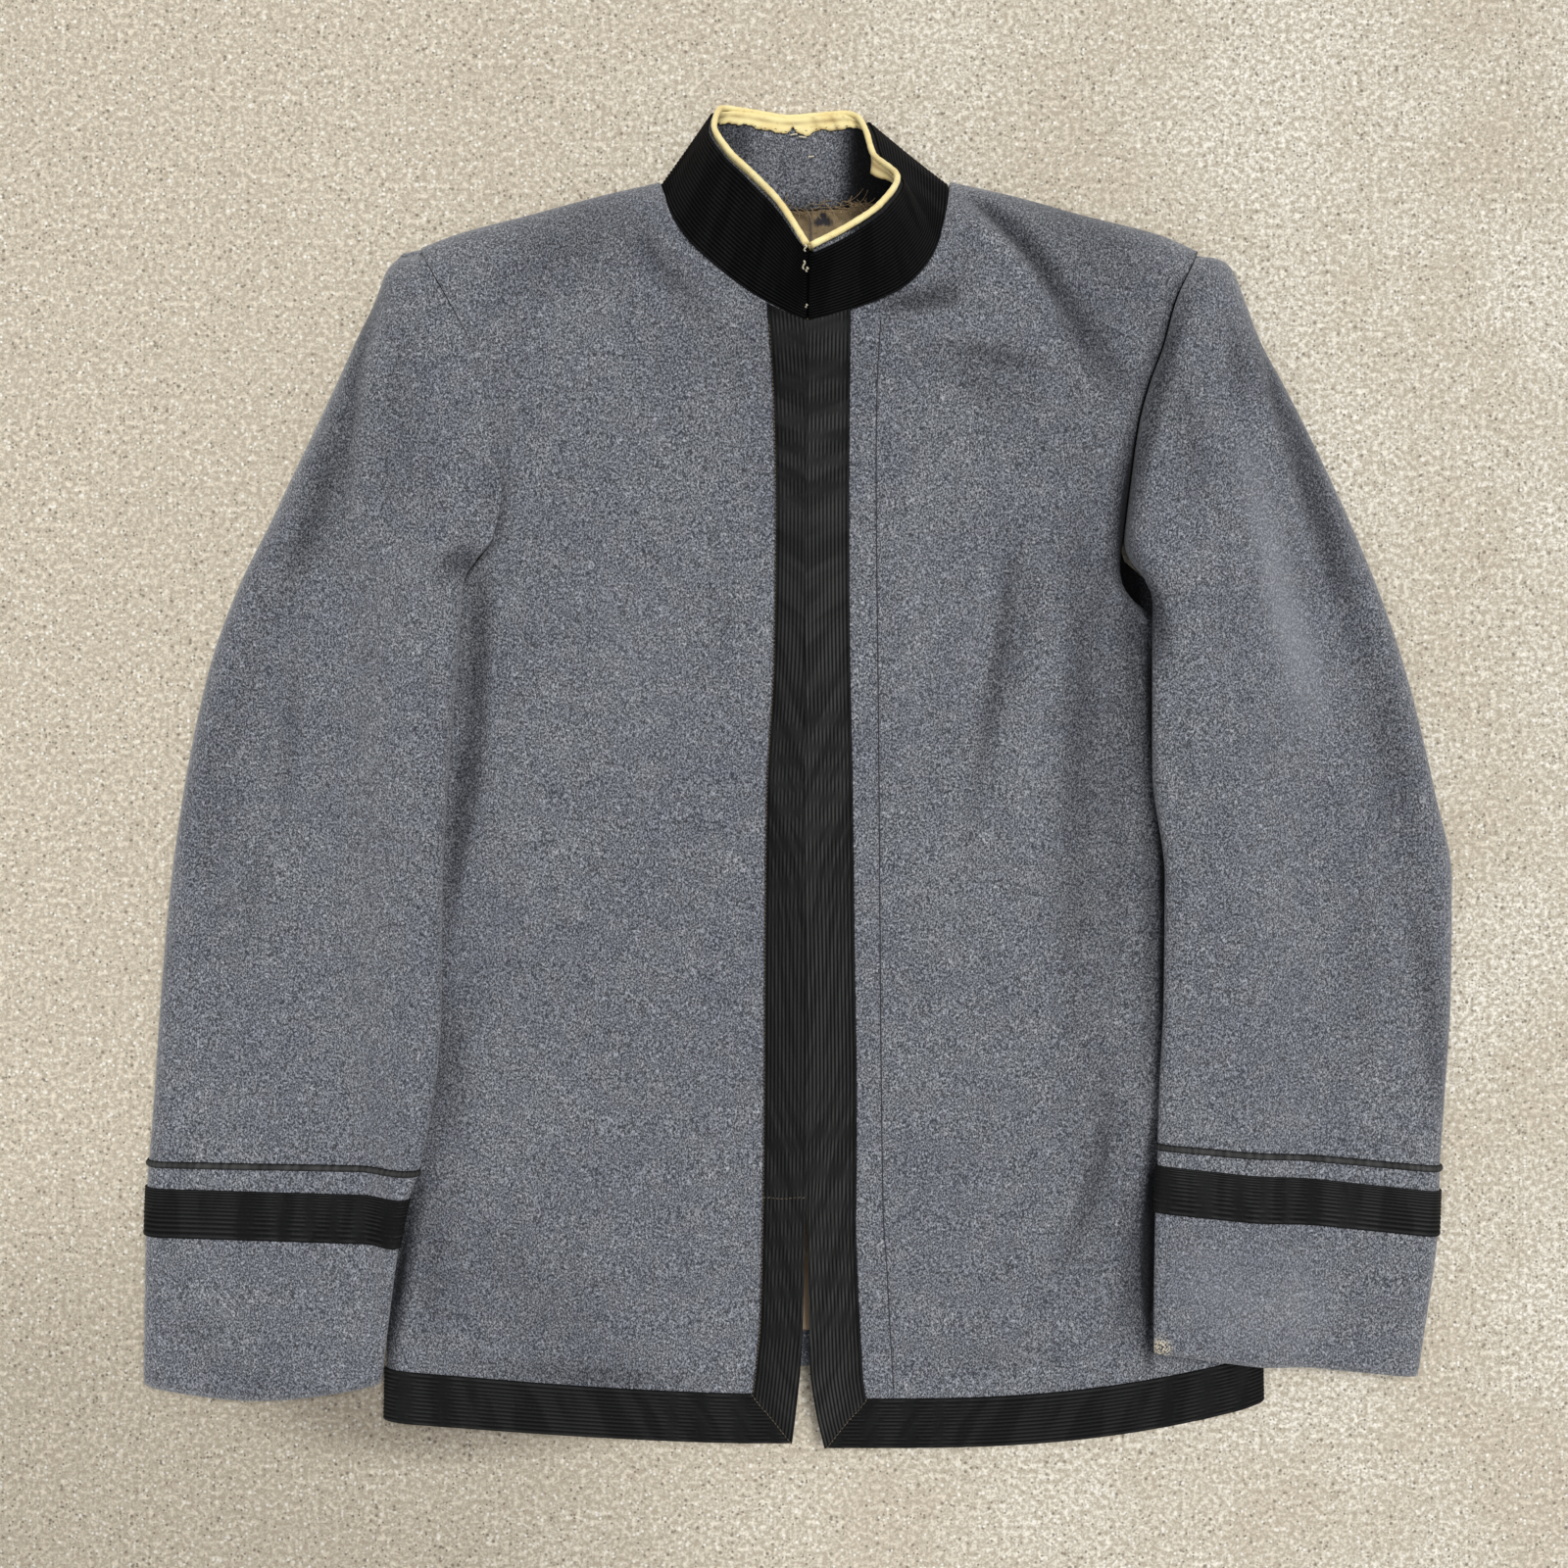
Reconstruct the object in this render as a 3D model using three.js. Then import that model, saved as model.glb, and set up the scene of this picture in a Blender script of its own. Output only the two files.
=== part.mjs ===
// Cadet uniform jacket, laid flat on its back with the fronts closed.
// Millimetres. +Z up, +Y towards the collar, +X towards the wearer's left.
import * as THREE from 'three';

// ---- driving dimensions ----
const WOOL = 2;          // wall of the body, sleeve and collar cloth
const BRAID = 1.2;       // wall of the ribbed braid
const LINING = 1;        // wall of the back lining and the hem facing
const STRIP = 0.8;       // wall of the strip inside the collar
const GAP = 0.3;         // free space between pieces that lie on each other
const SEAM = 0.2;        // how far each edge stands back from its seam line
const HEM_BRAID = 28;    // height of the hem braid
const HEM_FACING = 20;   // height of the facing strip inside the back hem
const SIDE_ROLL = 18;    // how far in from the side seam the cloth turns over
const SHOULDER_ROLL = 34;
const NECK_ROLL = 58;
const BACK_ROLL = 26;
const SEAM_Z = 11;       // height of the shoulder seams above the ground
const SLEEVE_EDGE = 3.5;   // half height of a sleeve's folded edge
const REST_ON_BODY = 1.3; // room between the body's cloth and a sleeve lying on it
const SLEEVE_ROLL = 11;  // how far in a sleeve's folded edge turns over
const PIPING_R = 1.7;
const PIPING_LIFT = 2.7; // from the piping's centre down to the collar's upper edge
const WIRE_R = 0.4;      // hook and eye wire

const COLOUR = {
  wool: 0x6c7078,
  braid: 0x1b1b1c,
  lining: 0x8d7c5c,
  facing: 0x5f646c,
  piping: 0xf0e2a6,
  metal: 0xc8b98a,
};

// ---- tables of sections ----
// Height of the front's cloth over the ground, a row per height up the jacket.
// Columns: wearer's right side, mid right, centre front, mid left, left side.
const CROWN_X = { sideR: -190, midR: -95, centre: 5, midL: 105, sideL: 205 };
const CROWN = [
  { y: -380, sideR: 9.5, midR: 10.5, centre: 10.5, midL: 10.5, sideL: 9.5 },
  { y: -300, sideR: 11, midR: 13, centre: 12.5, midL: 13, sideL: 11 },
  { y: -200, sideR: 13.5, midR: 16.5, centre: 16, midL: 16.5, sideL: 13.5 },
  { y: -60, sideR: 17, midR: 22, centre: 23, midL: 22, sideL: 17 },
  { y: 60, sideR: 21, midR: 27, centre: 28, midL: 27, sideL: 22 },
  { y: 150, sideR: 28, midR: 32, centre: 33, midL: 32, sideL: 28 },
  { y: 210, sideR: 31, midR: 35, centre: 42, midL: 36, sideL: 31 },
  { y: 250, sideR: 32, midR: 38, centre: 57, midL: 40, sideL: 32 },
  { y: 300, sideR: 32, midR: 35, centre: 54, midL: 38, sideL: 32 },
  { y: 340, sideR: 30, midR: 29, centre: 42, midL: 32, sideL: 30 },
];
// Side seams of the body, wearer's right and left.
const SIDE = [
  { y: -380, right: -233, left: 264 },
  { y: -300, right: -231, left: 262 },
  { y: -200, right: -226, left: 256 },
  { y: -100, right: -220, left: 250 },
  { y: 0, right: -215, left: 243 },
  { y: 80, right: -211, left: 237 },
];
// Shoulder line, across the whole jacket.
const SHOULDER = [
  { x: -211, y: 298 },
  { x: -190, y: 307 },
  { x: -149, y: 318 },
  { x: -105, y: 330 },
  { x: -77, y: 335.5 },
  { x: 4, y: 337 },
  { x: 86, y: 335.5 },
  { x: 116, y: 330 },
  { x: 159, y: 318 },
  { x: 204, y: 307 },
  { x: 225, y: 296 },
];
// Front edges: x of the right and left front's edge, visible width of each band.
const EDGE = [
  { y: -379, right: -3.5, left: 17, bandR: 26, bandL: 29 },
  { y: -355, right: -0.5, left: 11.5, bandR: 26, bandL: 29 },
  { y: -330, right: 2, left: 8.2, bandR: 25.5, bandL: 29 },
  { y: -305, right: 3.3, left: 7.8, bandR: 24.5, bandL: 28 },
  { y: -254, right: 4.4, left: 6.6, bandR: 24.3, bandL: 27 },
  { y: -235, right: 4.8, left: 5.8, bandR: 24.3, bandL: 28 },
  { y: -178, right: 5.1, left: 5.9, bandR: 24, bandL: 28 },
  { y: -104, right: 4.8, left: 5.6, bandR: 23.3, bandL: 27 },
  { y: -5, right: 4.4, left: 5.2, bandR: 21.6, bandL: 26 },
  { y: 68, right: 4.4, left: 5.2, bandR: 17.6, bandL: 24.4 },
  { y: 140, right: 4.6, left: 5.4, bandR: 16.8, bandL: 23.5 },
  { y: 211, right: 5, left: 5.8, bandR: 18.5, bandL: 23 },
  { y: 248, right: 5, left: 5.8, bandR: 21, bandL: 23.5 },
];
// Neckline of the fronts from the band's outer edge to the side of the neck.
const NECK = [
  { s: 0, rx: -16.4, ry: 257, lx: 28.4, ly: 253.9 },
  { s: 1, rx: -42.3, ry: 277.9, lx: 56.2, ly: 266.4 },
  { s: 2, rx: -60.2, ry: 296.2, lx: 72.8, ly: 285 },
  { s: 3, rx: -70, ry: 314.9, lx: 81.2, ly: 308.6 },
  { s: 4, rx: -77, ry: 335.5, lx: 86, ly: 335.5 },
];
// Rows of the fronts: y at the front edge and at the outer edge, each side.
// rb, lb: 1 is a straight row, higher keeps the row level and lifts it at the side.
const FRONT_ROWS = [
  { name: 'hem', ri: -377, ro: -364, li: -378.5, lo: -353.5, rb: 1.4, lb: 2.6 },
  { name: 'hem1', ri: -363.5, ro: -350, li: -364.5, lo: -339.5, rb: 1.4, lb: 2.6 },
  { name: 'hem2', ri: -349.5, ro: -336, li: -350.5, lo: -325.5, rb: 1.4, lb: 2.6 },
  { name: 'low1', ri: -320, ro: -308, li: -320, lo: -300, rb: 1.3, lb: 2 },
  { name: 'low2', ri: -276, ro: -266, li: -276, lo: -260, rb: 1.2, lb: 1.5 },
  { name: 'low3', ri: -222, ro: -214, li: -222, lo: -210, rb: 1, lb: 1 },
  { name: 'mid1', ri: -168, ro: -162, li: -168, lo: -160, rb: 1, lb: 1 },
  { name: 'mid3', ri: -56, ro: -56, li: -56, lo: -60, rb: 1, lb: 1 },
  { name: 'mid4', ri: -5, ro: -8, li: -5, lo: -18, rb: 1, lb: 1 },
  { name: 'mid5', ri: 40, ro: 36, li: 40, lo: 14, rb: 1, lb: 1 },
  { name: 'arm0', ri: 82, ro: 76, li: 80, lo: 40, rb: 1, lb: 1 },
  { name: 'arm1', ri: 104, ro: 92, li: 104, lo: 62, rb: 1, lb: 1 },
  { name: 'arm2', ri: 126, ro: 112, li: 126, lo: 92, rb: 1, lb: 1 },
  { name: 'arm3', ri: 150, ro: 135, li: 150, lo: 126, rb: 1, lb: 1 },
  { name: 'arm4', ri: 180, ro: 160, li: 180, lo: 160, rb: 1, lb: 1 },
  { name: 'arm5', ri: 214, ro: 190, li: 214, lo: 192, rb: 1, lb: 1 },
  { name: 'band', ri: 244.8, ro: 212, li: 244.8, lo: 216, rb: 1, lb: 1 },
  { name: 'neck0', ri: 248, ro: 218, li: 248, lo: 221, rb: 1, lb: 1 },
  { name: 'neck1', ri: 0, ro: 240, li: 0, lo: 243, rb: 1, lb: 1 },
  { name: 'neck2', ri: 0, ro: 262, li: 0, lo: 263, rb: 1, lb: 1 },
  { name: 'neck3', ri: 0, ro: 282, li: 0, lo: 282, rb: 1, lb: 1 },
  { name: 'neck4', ri: 0, ro: 298, li: 0, lo: 296, rb: 1, lb: 1 },
];
// Armhole of the fronts (x at a height) and how deep the cloth dips into its seam.
const ARMHOLE_R = [
  { y: 76, x: -211, dip: 0 },
  { y: 92, x: -190, dip: 5 },
  { y: 112, x: -178, dip: 9 },
  { y: 135, x: -168.5, dip: 10 },
  { y: 160, x: -163.5, dip: 7 },
  { y: 185, x: -167, dip: 3 },
  { y: 216, x: -173, dip: 2 },
  { y: 240, x: -180, dip: 2 },
  { y: 265, x: -193, dip: 2 },
  { y: 285, x: -204.5, dip: 1 },
  { y: 298, x: -211, dip: 0 },
];
const ARMHOLE_L = [
  { y: 40, x: 240, dip: 0 },
  { y: 52, x: 205, dip: 6 },
  { y: 64, x: 190, dip: 10 },
  { y: 97, x: 180.5, dip: 14 },
  { y: 132, x: 176.5, dip: 13 },
  { y: 166, x: 179.5, dip: 10 },
  { y: 196, x: 185.5, dip: 7 },
  { y: 219, x: 194, dip: 5 },
  { y: 240, x: 202.5, dip: 4 },
  { y: 264, x: 209, dip: 3 },
  { y: 288, x: 221, dip: 1 },
  { y: 296, x: 225, dip: 0 },
];
// Back: rows from the hem to the neck and shoulders. y at the sides and centre.
const BACK_ROWS = [
  { name: 'hem', r: -364, c: -333, l: -353.5 },
  { name: 'hem1', r: -350, c: -319, l: -339.5 },
  { name: 'facing', r: -344, c: -313, l: -333.5 },
  { name: 'hem2', r: -336, c: -305, l: -325.5 },
  { name: 'step', r: -318, c: -287, l: -308 },
  { name: 'low1', r: -266, c: -250, l: -260 },
  { name: 'mid1', r: -150, c: -150, l: -150 },
  { name: 'mid2', r: -30, c: -30, l: -40 },
  { name: 'arm0', r: 76, c: 60, l: 40 },
  { name: 'arm1', r: 106, c: 106, l: 92 },
  { name: 'arm2', r: 135, c: 150, l: 126 },
  { name: 'arm3', r: 191, c: 205, l: 192 },
  { name: 'arm4', r: 241, c: 250, l: 243 },
  { name: 'arm5', r: 264, c: 284, l: 264 },
  { name: 'top0', r: 283, c: 308, l: 282 },
  { name: 'top1', r: 293, c: 321.5, l: 291 },
  { name: 'top', r: 298, c: 324.5, l: 296 },
];
const BACK_COLUMNS = [
  0, 0.006, 0.02, 0.045, 0.1, 0.2, 0.308, 0.4, 0.494, 0.59,
  0.681, 0.79, 0.9, 0.955, 0.98, 0.994, 1,
];
const BACK_ARM = [
  { y: 40, right: -213, left: 240 },
  { y: 76, right: -211, left: 217 },
  { y: 92, right: -208, left: 212 },
  { y: 106, right: -201, left: 206 },
  { y: 120, right: -187, left: 192 },
  { y: 126, right: -180, left: 186 },
  { y: 135, right: -168, left: 184.7 },
  { y: 191, right: -162, left: 178 },
  { y: 241, right: -174, left: 192 },
  { y: 263, right: -184, left: 202 },
  { y: 283, right: -196, left: 214 },
  { y: 298, right: -211, left: 225 },
];
// Sleeve rows, cuff to shoulder. i: inner edge, o: outer edge, thick: height of the
// sleeve between its two faces, drape: how far it takes to come off the body,
// bow: how far the row sags towards the cuff in its middle.
const SLEEVE_R = [
  { name: 'cuff', xi: -236.5, yi: -342, xo: -370, yo: -342, thick: 10, drape: 16, bow: 8.5 },
  { name: 'wide0', xi: -224, yi: -262.5, xo: -368, yo: -258, thick: 12, drape: 22, bow: 0 },
  { name: 'wide1', xi: -218, yi: -236, xo: -367, yo: -231.5, thick: 12, drape: 26, bow: 0 },
  { name: 'cord0', xi: -213, yi: -223, xo: -366.3, yo: -220, thick: 12, drape: 28, bow: 0 },
  { name: 'cord1', xi: -212, yi: -219, xo: -366, yo: -216, thick: 12, drape: 28, bow: 0 },
  { name: 'low', xi: -203.5, yi: -178, xo: -363.5, yo: -178, thick: 13, drape: 40, bow: 0 },
  { name: 'fore', xi: -199, yi: -128, xo: -360, yo: -127, thick: 14, drape: 50, bow: 0 },
  { name: 'elbow', xi: -198, yi: -60, xo: -354, yo: -60, thick: 16, drape: 60, bow: 0 },
  { name: 'upper', xi: -194, yi: 8, xo: -344, yo: 8, thick: 17, drape: 60, bow: 0 },
  { name: 'arm', xi: -188.5, yi: 66, xo: -331, yo: 66, thick: 18, drape: 60, bow: 0 },
  { name: 'fold', xi: -185, yi: 107, xo: -314, yo: 112, thick: 18, drape: 60, bow: 0 },
  { name: 'seam1', xi: -168.5, yi: 135, xo: -299, yo: 141, thick: 24, drape: 60, bow: 0 },
  { name: 'seam2', xi: -163.5, yi: 160, xo: -288, yo: 164, thick: 25, drape: 60, bow: 0 },
  { name: 'seam3', xi: -168, yi: 190, xo: -273, yo: 194, thick: 27, drape: 60, bow: 0 },
  { name: 'seam4', xi: -173, yi: 216, xo: -259.5, yo: 221, thick: 29, drape: 60, bow: 0 },
  { name: 'seam5', xi: -180, yi: 240, xo: -247, yo: 247, thick: 31, drape: 60, bow: 0 },
  { name: 'seam6', xi: -191, yi: 262, xo: -236, yo: 269, thick: 32, drape: 60, bow: 0 },
  { name: 'seam7', xi: -203, yi: 282, xo: -229.5, yo: 286, thick: 28, drape: 60, bow: 0 },
  { name: 'seam8', xi: -211, yi: 298, xo: -221.5, yo: 296, thick: 16, drape: 60, bow: 0 },
];
const SLEEVE_L = [
  { name: 'cuff', xi: 200.5, yi: -322, xo: 352, yo: -338, thick: 10, drape: 40, bow: 1 },
  { name: 'wide0', xi: 201, yi: -242.5, xo: 362.3, yo: -259, thick: 12, drape: 44, bow: 0 },
  { name: 'wide1', xi: 202, yi: -217, xo: 363.2, yo: -234, thick: 12, drape: 46, bow: 0 },
  { name: 'cord0', xi: 202, yi: -208.5, xo: 363.4, yo: -223.5, thick: 12, drape: 46, bow: 0 },
  { name: 'cord1', xi: 202, yi: -204.5, xo: 363.6, yo: -219.5, thick: 12, drape: 48, bow: 0 },
  { name: 'low', xi: 202.5, yi: -166, xo: 367, yo: -174, thick: 13, drape: 52, bow: 0 },
  { name: 'fore', xi: 203.5, yi: -118, xo: 370, yo: -122, thick: 14, drape: 56, bow: 0 },
  { name: 'elbow', xi: 203, yi: -56, xo: 370.5, yo: -58, thick: 16, drape: 60, bow: 0 },
  { name: 'upper', xi: 198.5, yi: 4, xo: 361, yo: -8, thick: 17, drape: 60, bow: 0 },
  { name: 'arm', xi: 199, yi: 56, xo: 345, yo: 58, thick: 18, drape: 60, bow: 0 },
  { name: 'fold', xi: 202, yi: 92, xo: 332, yo: 98, thick: 18, drape: 60, bow: 0 },
  { name: 'seam1', xi: 187, yi: 126, xo: 318, yo: 132, thick: 25, drape: 60, bow: 0 },
  { name: 'seam2', xi: 180, yi: 160, xo: 304.5, yo: 162, thick: 26, drape: 60, bow: 0 },
  { name: 'seam3', xi: 185, yi: 192, xo: 289, yo: 193, thick: 29, drape: 60, bow: 0 },
  { name: 'seam4', xi: 194, yi: 219, xo: 275, yo: 219, thick: 31, drape: 60, bow: 0 },
  { name: 'seam5', xi: 203, yi: 243, xo: 261, yo: 244, thick: 32, drape: 60, bow: 0 },
  { name: 'seam6', xi: 209, yi: 263, xo: 252, yo: 266, thick: 32, drape: 60, bow: 0 },
  { name: 'seam7', xi: 219, yi: 282, xo: 244, yo: 285, thick: 28, drape: 60, bow: 0 },
  { name: 'seam8', xi: 225, yi: 296, xo: 235, yo: 294, thick: 16, drape: 60, bow: 0 },
];
// Sections of the collar round the neck, right front edge to left front edge.
// b: on the neck seam, t: on the upper edge, lift: seam line to the collar's edge.
const COLLAR = [
  { bx: 4.4, by: 246.5, bz: 57, tx: 4.4, ty: 270, tz: 104, lift: 2.4 },
  { bx: -20, by: 259, bz: 53, tx: -11, ty: 297, tz: 88, lift: 2.4 },
  { bx: -42, by: 276, bz: 47.5, tx: -26, ty: 320, tz: 67, lift: 2.4 },
  { bx: -60, by: 295, bz: 40.5, tx: -39.5, ty: 340, tz: 50, lift: 2.4 },
  { bx: -70.5, by: 314.5, bz: 28.5, tx: -47.5, ty: 361, tz: 31, lift: 2.6 },
  { bx: -75.5, by: 331, bz: 15.5, tx: -45, ty: 377, tz: 15, lift: 3 },
  { bx: -71, by: 334.5, bz: 8, tx: -38, ty: 379.5, tz: 8.5, lift: 2.6 },
  { bx: -50, by: 331.5, bz: 5, tx: -28, ty: 379, tz: 6.5, lift: 1.2 },
  { bx: -23, by: 327, bz: 4, tx: -17, ty: 377.5, tz: 5.5, lift: 0.3 },
  { bx: 4, by: 325, bz: 3.9, tx: -4.5, ty: 376, tz: 5, lift: 0.3 },
  { bx: 32, by: 327, bz: 4, tx: 10, ty: 377, tz: 5.2, lift: 0.3 },
  { bx: 60, by: 331.5, bz: 5, tx: 26, ty: 378, tz: 6, lift: 1.2 },
  { bx: 80, by: 334.5, bz: 8, tx: 37, ty: 375, tz: 9, lift: 2.6 },
  { bx: 84.5, by: 331, bz: 16, tx: 41, ty: 362.5, tz: 20, lift: 3 },
  { bx: 82, by: 311, bz: 31.5, tx: 43.5, ty: 343, tz: 34, lift: 2.6 },
  { bx: 74, by: 286, bz: 43, tx: 51.5, ty: 324, tz: 58, lift: 2.4 },
  { bx: 57, by: 266, bz: 50, tx: 43.5, ty: 299.5, tz: 82, lift: 2.4 },
  { bx: 32, by: 254, bz: 54.5, tx: 25.5, ty: 282.5, tz: 95, lift: 2.4 },
  { bx: 6.4, by: 246.5, bz: 57, tx: 6.4, ty: 269.5, tz: 104, lift: 2.4 },
];

// ---- small helpers ----
const V = (x, y, z) => new THREE.Vector3(x, y, z);
const clamp = (t) => Math.min(1, Math.max(0, t));
const lerp = (a, b, t) => a + (b - a) * t;
const smooth = (t) => clamp(t) * clamp(t) * (3 - 2 * clamp(t));
// Height of a quarter round: 0 at its edge, 1 from t = 1 inwards.
const quarter = (t) => Math.sqrt(1 - (1 - clamp(t)) ** 2);

// Value of a column at a place down a table, by a curve that never overshoots.
function column(table, key, at, name) {
  const last = table.length - 1;
  if (at <= table[0][key]) return table[0][name];
  if (at >= table[last][key]) return table[last][name];
  let k = 0;
  while (table[k + 1][key] < at) k += 1;
  const slope = (a) => {
    if (a < 0 || a >= last) return null;
    return (table[a + 1][name] - table[a][name]) / (table[a + 1][key] - table[a][key]);
  };
  const tangent = (a) => {
    const left = slope(a - 1);
    const right = slope(a);
    if (left === null) return right;
    if (right === null) return left;
    if (left * right <= 0) return 0;
    return (2 * left * right) / (left + right);
  };
  const h = table[k + 1][key] - table[k][key];
  const t = (at - table[k][key]) / h;
  const a = table[k][name];
  const b = table[k + 1][name];
  return a * (1 + 2 * t) * (1 - t) ** 2 + b * t * t * (3 - 2 * t)
    + h * tangent(k) * t * (1 - t) ** 2 + h * tangent(k + 1) * t * t * (t - 1);
}

// ---- the body's heights ----
function crown(x, y) {
  const across = Object.keys(CROWN_X).map((name) => (
    { x: CROWN_X[name], z: column(CROWN, 'y', y, name) }));
  return column(across, 'x', x, 'z');
}
const shoulderY = (x) => column(SHOULDER, 'x', x, 'y');
const sideX = (y, name) => column(SIDE, 'y', y, name);
const seamZ = (x, y) => 0.42 * crown(x, y) + 0.8;

// Distance in from the shoulder line and from the nearer side seam.
const fromShoulder = (x, y) => Math.max(0, shoulderY(x) - y) * 0.96;
function fromSide(x, y) {
  if (x < 5) return x - sideX(y, 'right');
  return sideX(y, 'left') - x;
}

function frontZ(x, y) {
  const arm = x < 5 ? ARMHOLE_R : ARMHOLE_L;
  let z = crown(x, y);
  const closeNeck = smooth((Math.abs(x - 5) - 75) / 70);
  const roll = lerp(NECK_ROLL, SHOULDER_ROLL, closeNeck);
  if (y > arm[0].y) {
    const off = Math.abs(column(arm, 'y', y, 'x') - x);
    z -= column(arm, 'y', y, 'dip') * (1 - quarter(off / 12));
  }
  const low = 1 - smooth((y - arm[0].y) / 20);
  if (low > 0) {
    const turned = 1 - quarter(fromSide(x, y) / SIDE_ROLL);
    z -= (z - seamZ(x, y)) * turned * low;
  }
  return SEAM_Z + (z - SEAM_Z) * quarter(fromShoulder(x, y) / roll);
}

function backZ(x, y, hemY) {
  const arm = x < 5 ? 76 : 40;
  let z = 1 + 1.5 * (1 - smooth((y - hemY - HEM_BRAID) / 16));
  if (y < arm + 4) {
    const turned = 1 - quarter(fromSide(x, y) / SIDE_ROLL);
    z += (seamZ(x, y) - z) * turned * (1 - smooth((y - arm + 12) / 16));
  }
  const in1 = x > -77 && x < 86 ? Math.min(x + 77, 86 - x) : 0;
  const d = Math.hypot(fromShoulder(x, y), in1);
  return z + (SEAM_Z - z) * (1 - quarter(d / BACK_ROLL));
}

// Height of whatever lies under a sleeve: the body's cloth, then the ground.
function support(x, y, drape) {
  const onHem = 1.6 * smooth((-300 - y) / 16);
  const off = (9 - fromSide(x, y)) / drape;
  return (crown(x, y) + WOOL / 2 + REST_ON_BODY + onHem) * (1 - smooth(off));
}

// ---- sheets ----
// A patch is a grid of points with one normal each; every cell is two triangles.
function makePatch(columns, rows, at, flip, has = () => true) {
  const patch = { points: [], normals: [], triangles: [] };
  const fixed = [];
  for (let j = 0; j < rows; j += 1) {
    for (let i = 0; i < columns; i += 1) {
      const spot = at(i, j);
      patch.points.push(spot.p);
      fixed.push(spot.n || null);
      patch.normals.push(V(0, 0, 0));
    }
  }
  for (let j = 0; j < rows - 1; j += 1) {
    for (let i = 0; i < columns - 1; i += 1) {
      if (!has(i, j)) continue;
      const a = j * columns + i;
      const b = a + 1;
      const c = a + columns + 1;
      const d = a + columns;
      patch.triangles.push({ i, j, lower: true, v: flip ? [a, c, b] : [a, b, c] });
      patch.triangles.push({ i, j, lower: false, v: flip ? [a, d, c] : [a, c, d] });
    }
  }
  patch.triangles.forEach(({ v }) => {
    const [a, b, c] = v.map((k) => patch.points[k]);
    const n = b.clone().sub(a).cross(c.clone().sub(a));
    v.forEach((k) => patch.normals[k].add(n));
  });
  patch.normals.forEach((n, k) => {
    if (fixed[k]) n.copy(fixed[k]);
    n.normalize();
  });
  return patch;
}

// A wall on part of a patch, between two distances from its points.
function wall(patch, keep, low, high, back = SEAM) {
  const kept = patch.triangles.filter(keep);
  const edges = new Map();
  kept.forEach(({ v }) => {
    for (let k = 0; k < 3; k += 1) {
      const a = v[k];
      const b = v[(k + 1) % 3];
      if (edges.has(`${b}_${a}`)) edges.delete(`${b}_${a}`);
      else edges.set(`${a}_${b}`, [a, b, v[(k + 2) % 3]]);
    }
  });
  const inward = new Map();
  edges.forEach(([a, b, c]) => {
    const along = patch.points[b].clone().sub(patch.points[a]).normalize();
    const to = patch.points[c].clone().sub(patch.points[a]);
    to.addScaledVector(along, -to.dot(along)).normalize();
    [a, b].forEach((k) => {
      if (!inward.has(k)) inward.set(k, V(0, 0, 0));
      inward.get(k).add(to);
    });
  });
  const used = [...new Set(kept.flatMap(({ v }) => v))];
  const place = new Map(used.map((k, n) => [k, n]));
  const position = [];
  [low, high].forEach((distance) => {
    used.forEach((k) => {
      const p = patch.points[k].clone().addScaledVector(patch.normals[k], distance);
      if (inward.has(k)) {
        const step = inward.get(k).clone();
        const flat = step.lengthSq() / 2;
        if (flat > 0.05) step.multiplyScalar(1 / Math.max(flat, 0.5));
        p.addScaledVector(step.clampLength(0, 1.6), back);
      }
      position.push(p.x, p.y, p.z);
    });
  });
  const index = [];
  kept.forEach(({ v }) => {
    const [a, b, c] = v.map((k) => place.get(k));
    const n = used.length;
    index.push(a + n, b + n, c + n, c, b, a);
  });
  edges.forEach(([a, b]) => {
    const p = place.get(a);
    const q = place.get(b);
    const n = used.length;
    index.push(p, q, q + n, p, q + n, p + n);
  });
  return solid(position, index);
}

function solid(position, index) {
  const geometry = new THREE.BufferGeometry();
  geometry.setAttribute('position', new THREE.Float32BufferAttribute(position, 3));
  geometry.setIndex(index);
  geometry.computeVertexNormals();
  return geometry;
}

// A round bar along points; frame gives two cross directions at each point.
function bar(points, frame, radius, sides) {
  const position = [];
  const index = [];
  points.forEach((p, k) => {
    const { u, w } = frame(k);
    for (let s = 0; s < sides; s += 1) {
      const a = (2 * Math.PI * s) / sides;
      const q = p.clone().addScaledVector(u, radius * Math.cos(a));
      q.addScaledVector(w, radius * Math.sin(a));
      position.push(q.x, q.y, q.z);
    }
  });
  for (let k = 0; k < points.length - 1; k += 1) {
    for (let s = 0; s < sides; s += 1) {
      const a = k * sides + s;
      const b = k * sides + ((s + 1) % sides);
      index.push(a, b, b + sides, a, b + sides, a + sides);
    }
  }
  const last = (points.length - 1) * sides;
  for (let s = 1; s < sides - 1; s += 1) {
    index.push(0, s + 1, s);
    index.push(last, last + s, last + s + 1);
  }
  return solid(position, index);
}

const jacket = new THREE.Group();
function add(name, colour, geometry) {
  const material = new THREE.MeshStandardMaterial({ color: COLOUR[colour] });
  const mesh = new THREE.Mesh(geometry, material);
  mesh.name = name;
  jacket.add(mesh);
}
const everywhere = () => true;
const UP = V(0, 0, 1);

// ---- fronts, their front braid and hem braid ----
const OUTER_STEPS = [0.16, 0.34, 0.52, 0.68, 0.81, 0.9, 0.955, 0.985, 1];
const FRONT_COLUMNS = 3 + OUTER_STEPS.length;
const NECK_ROW = FRONT_ROWS.findIndex((row) => row.name === 'neck0');
const ARM_ROW = FRONT_ROWS.findIndex((row) => row.name === 'arm0');

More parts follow.
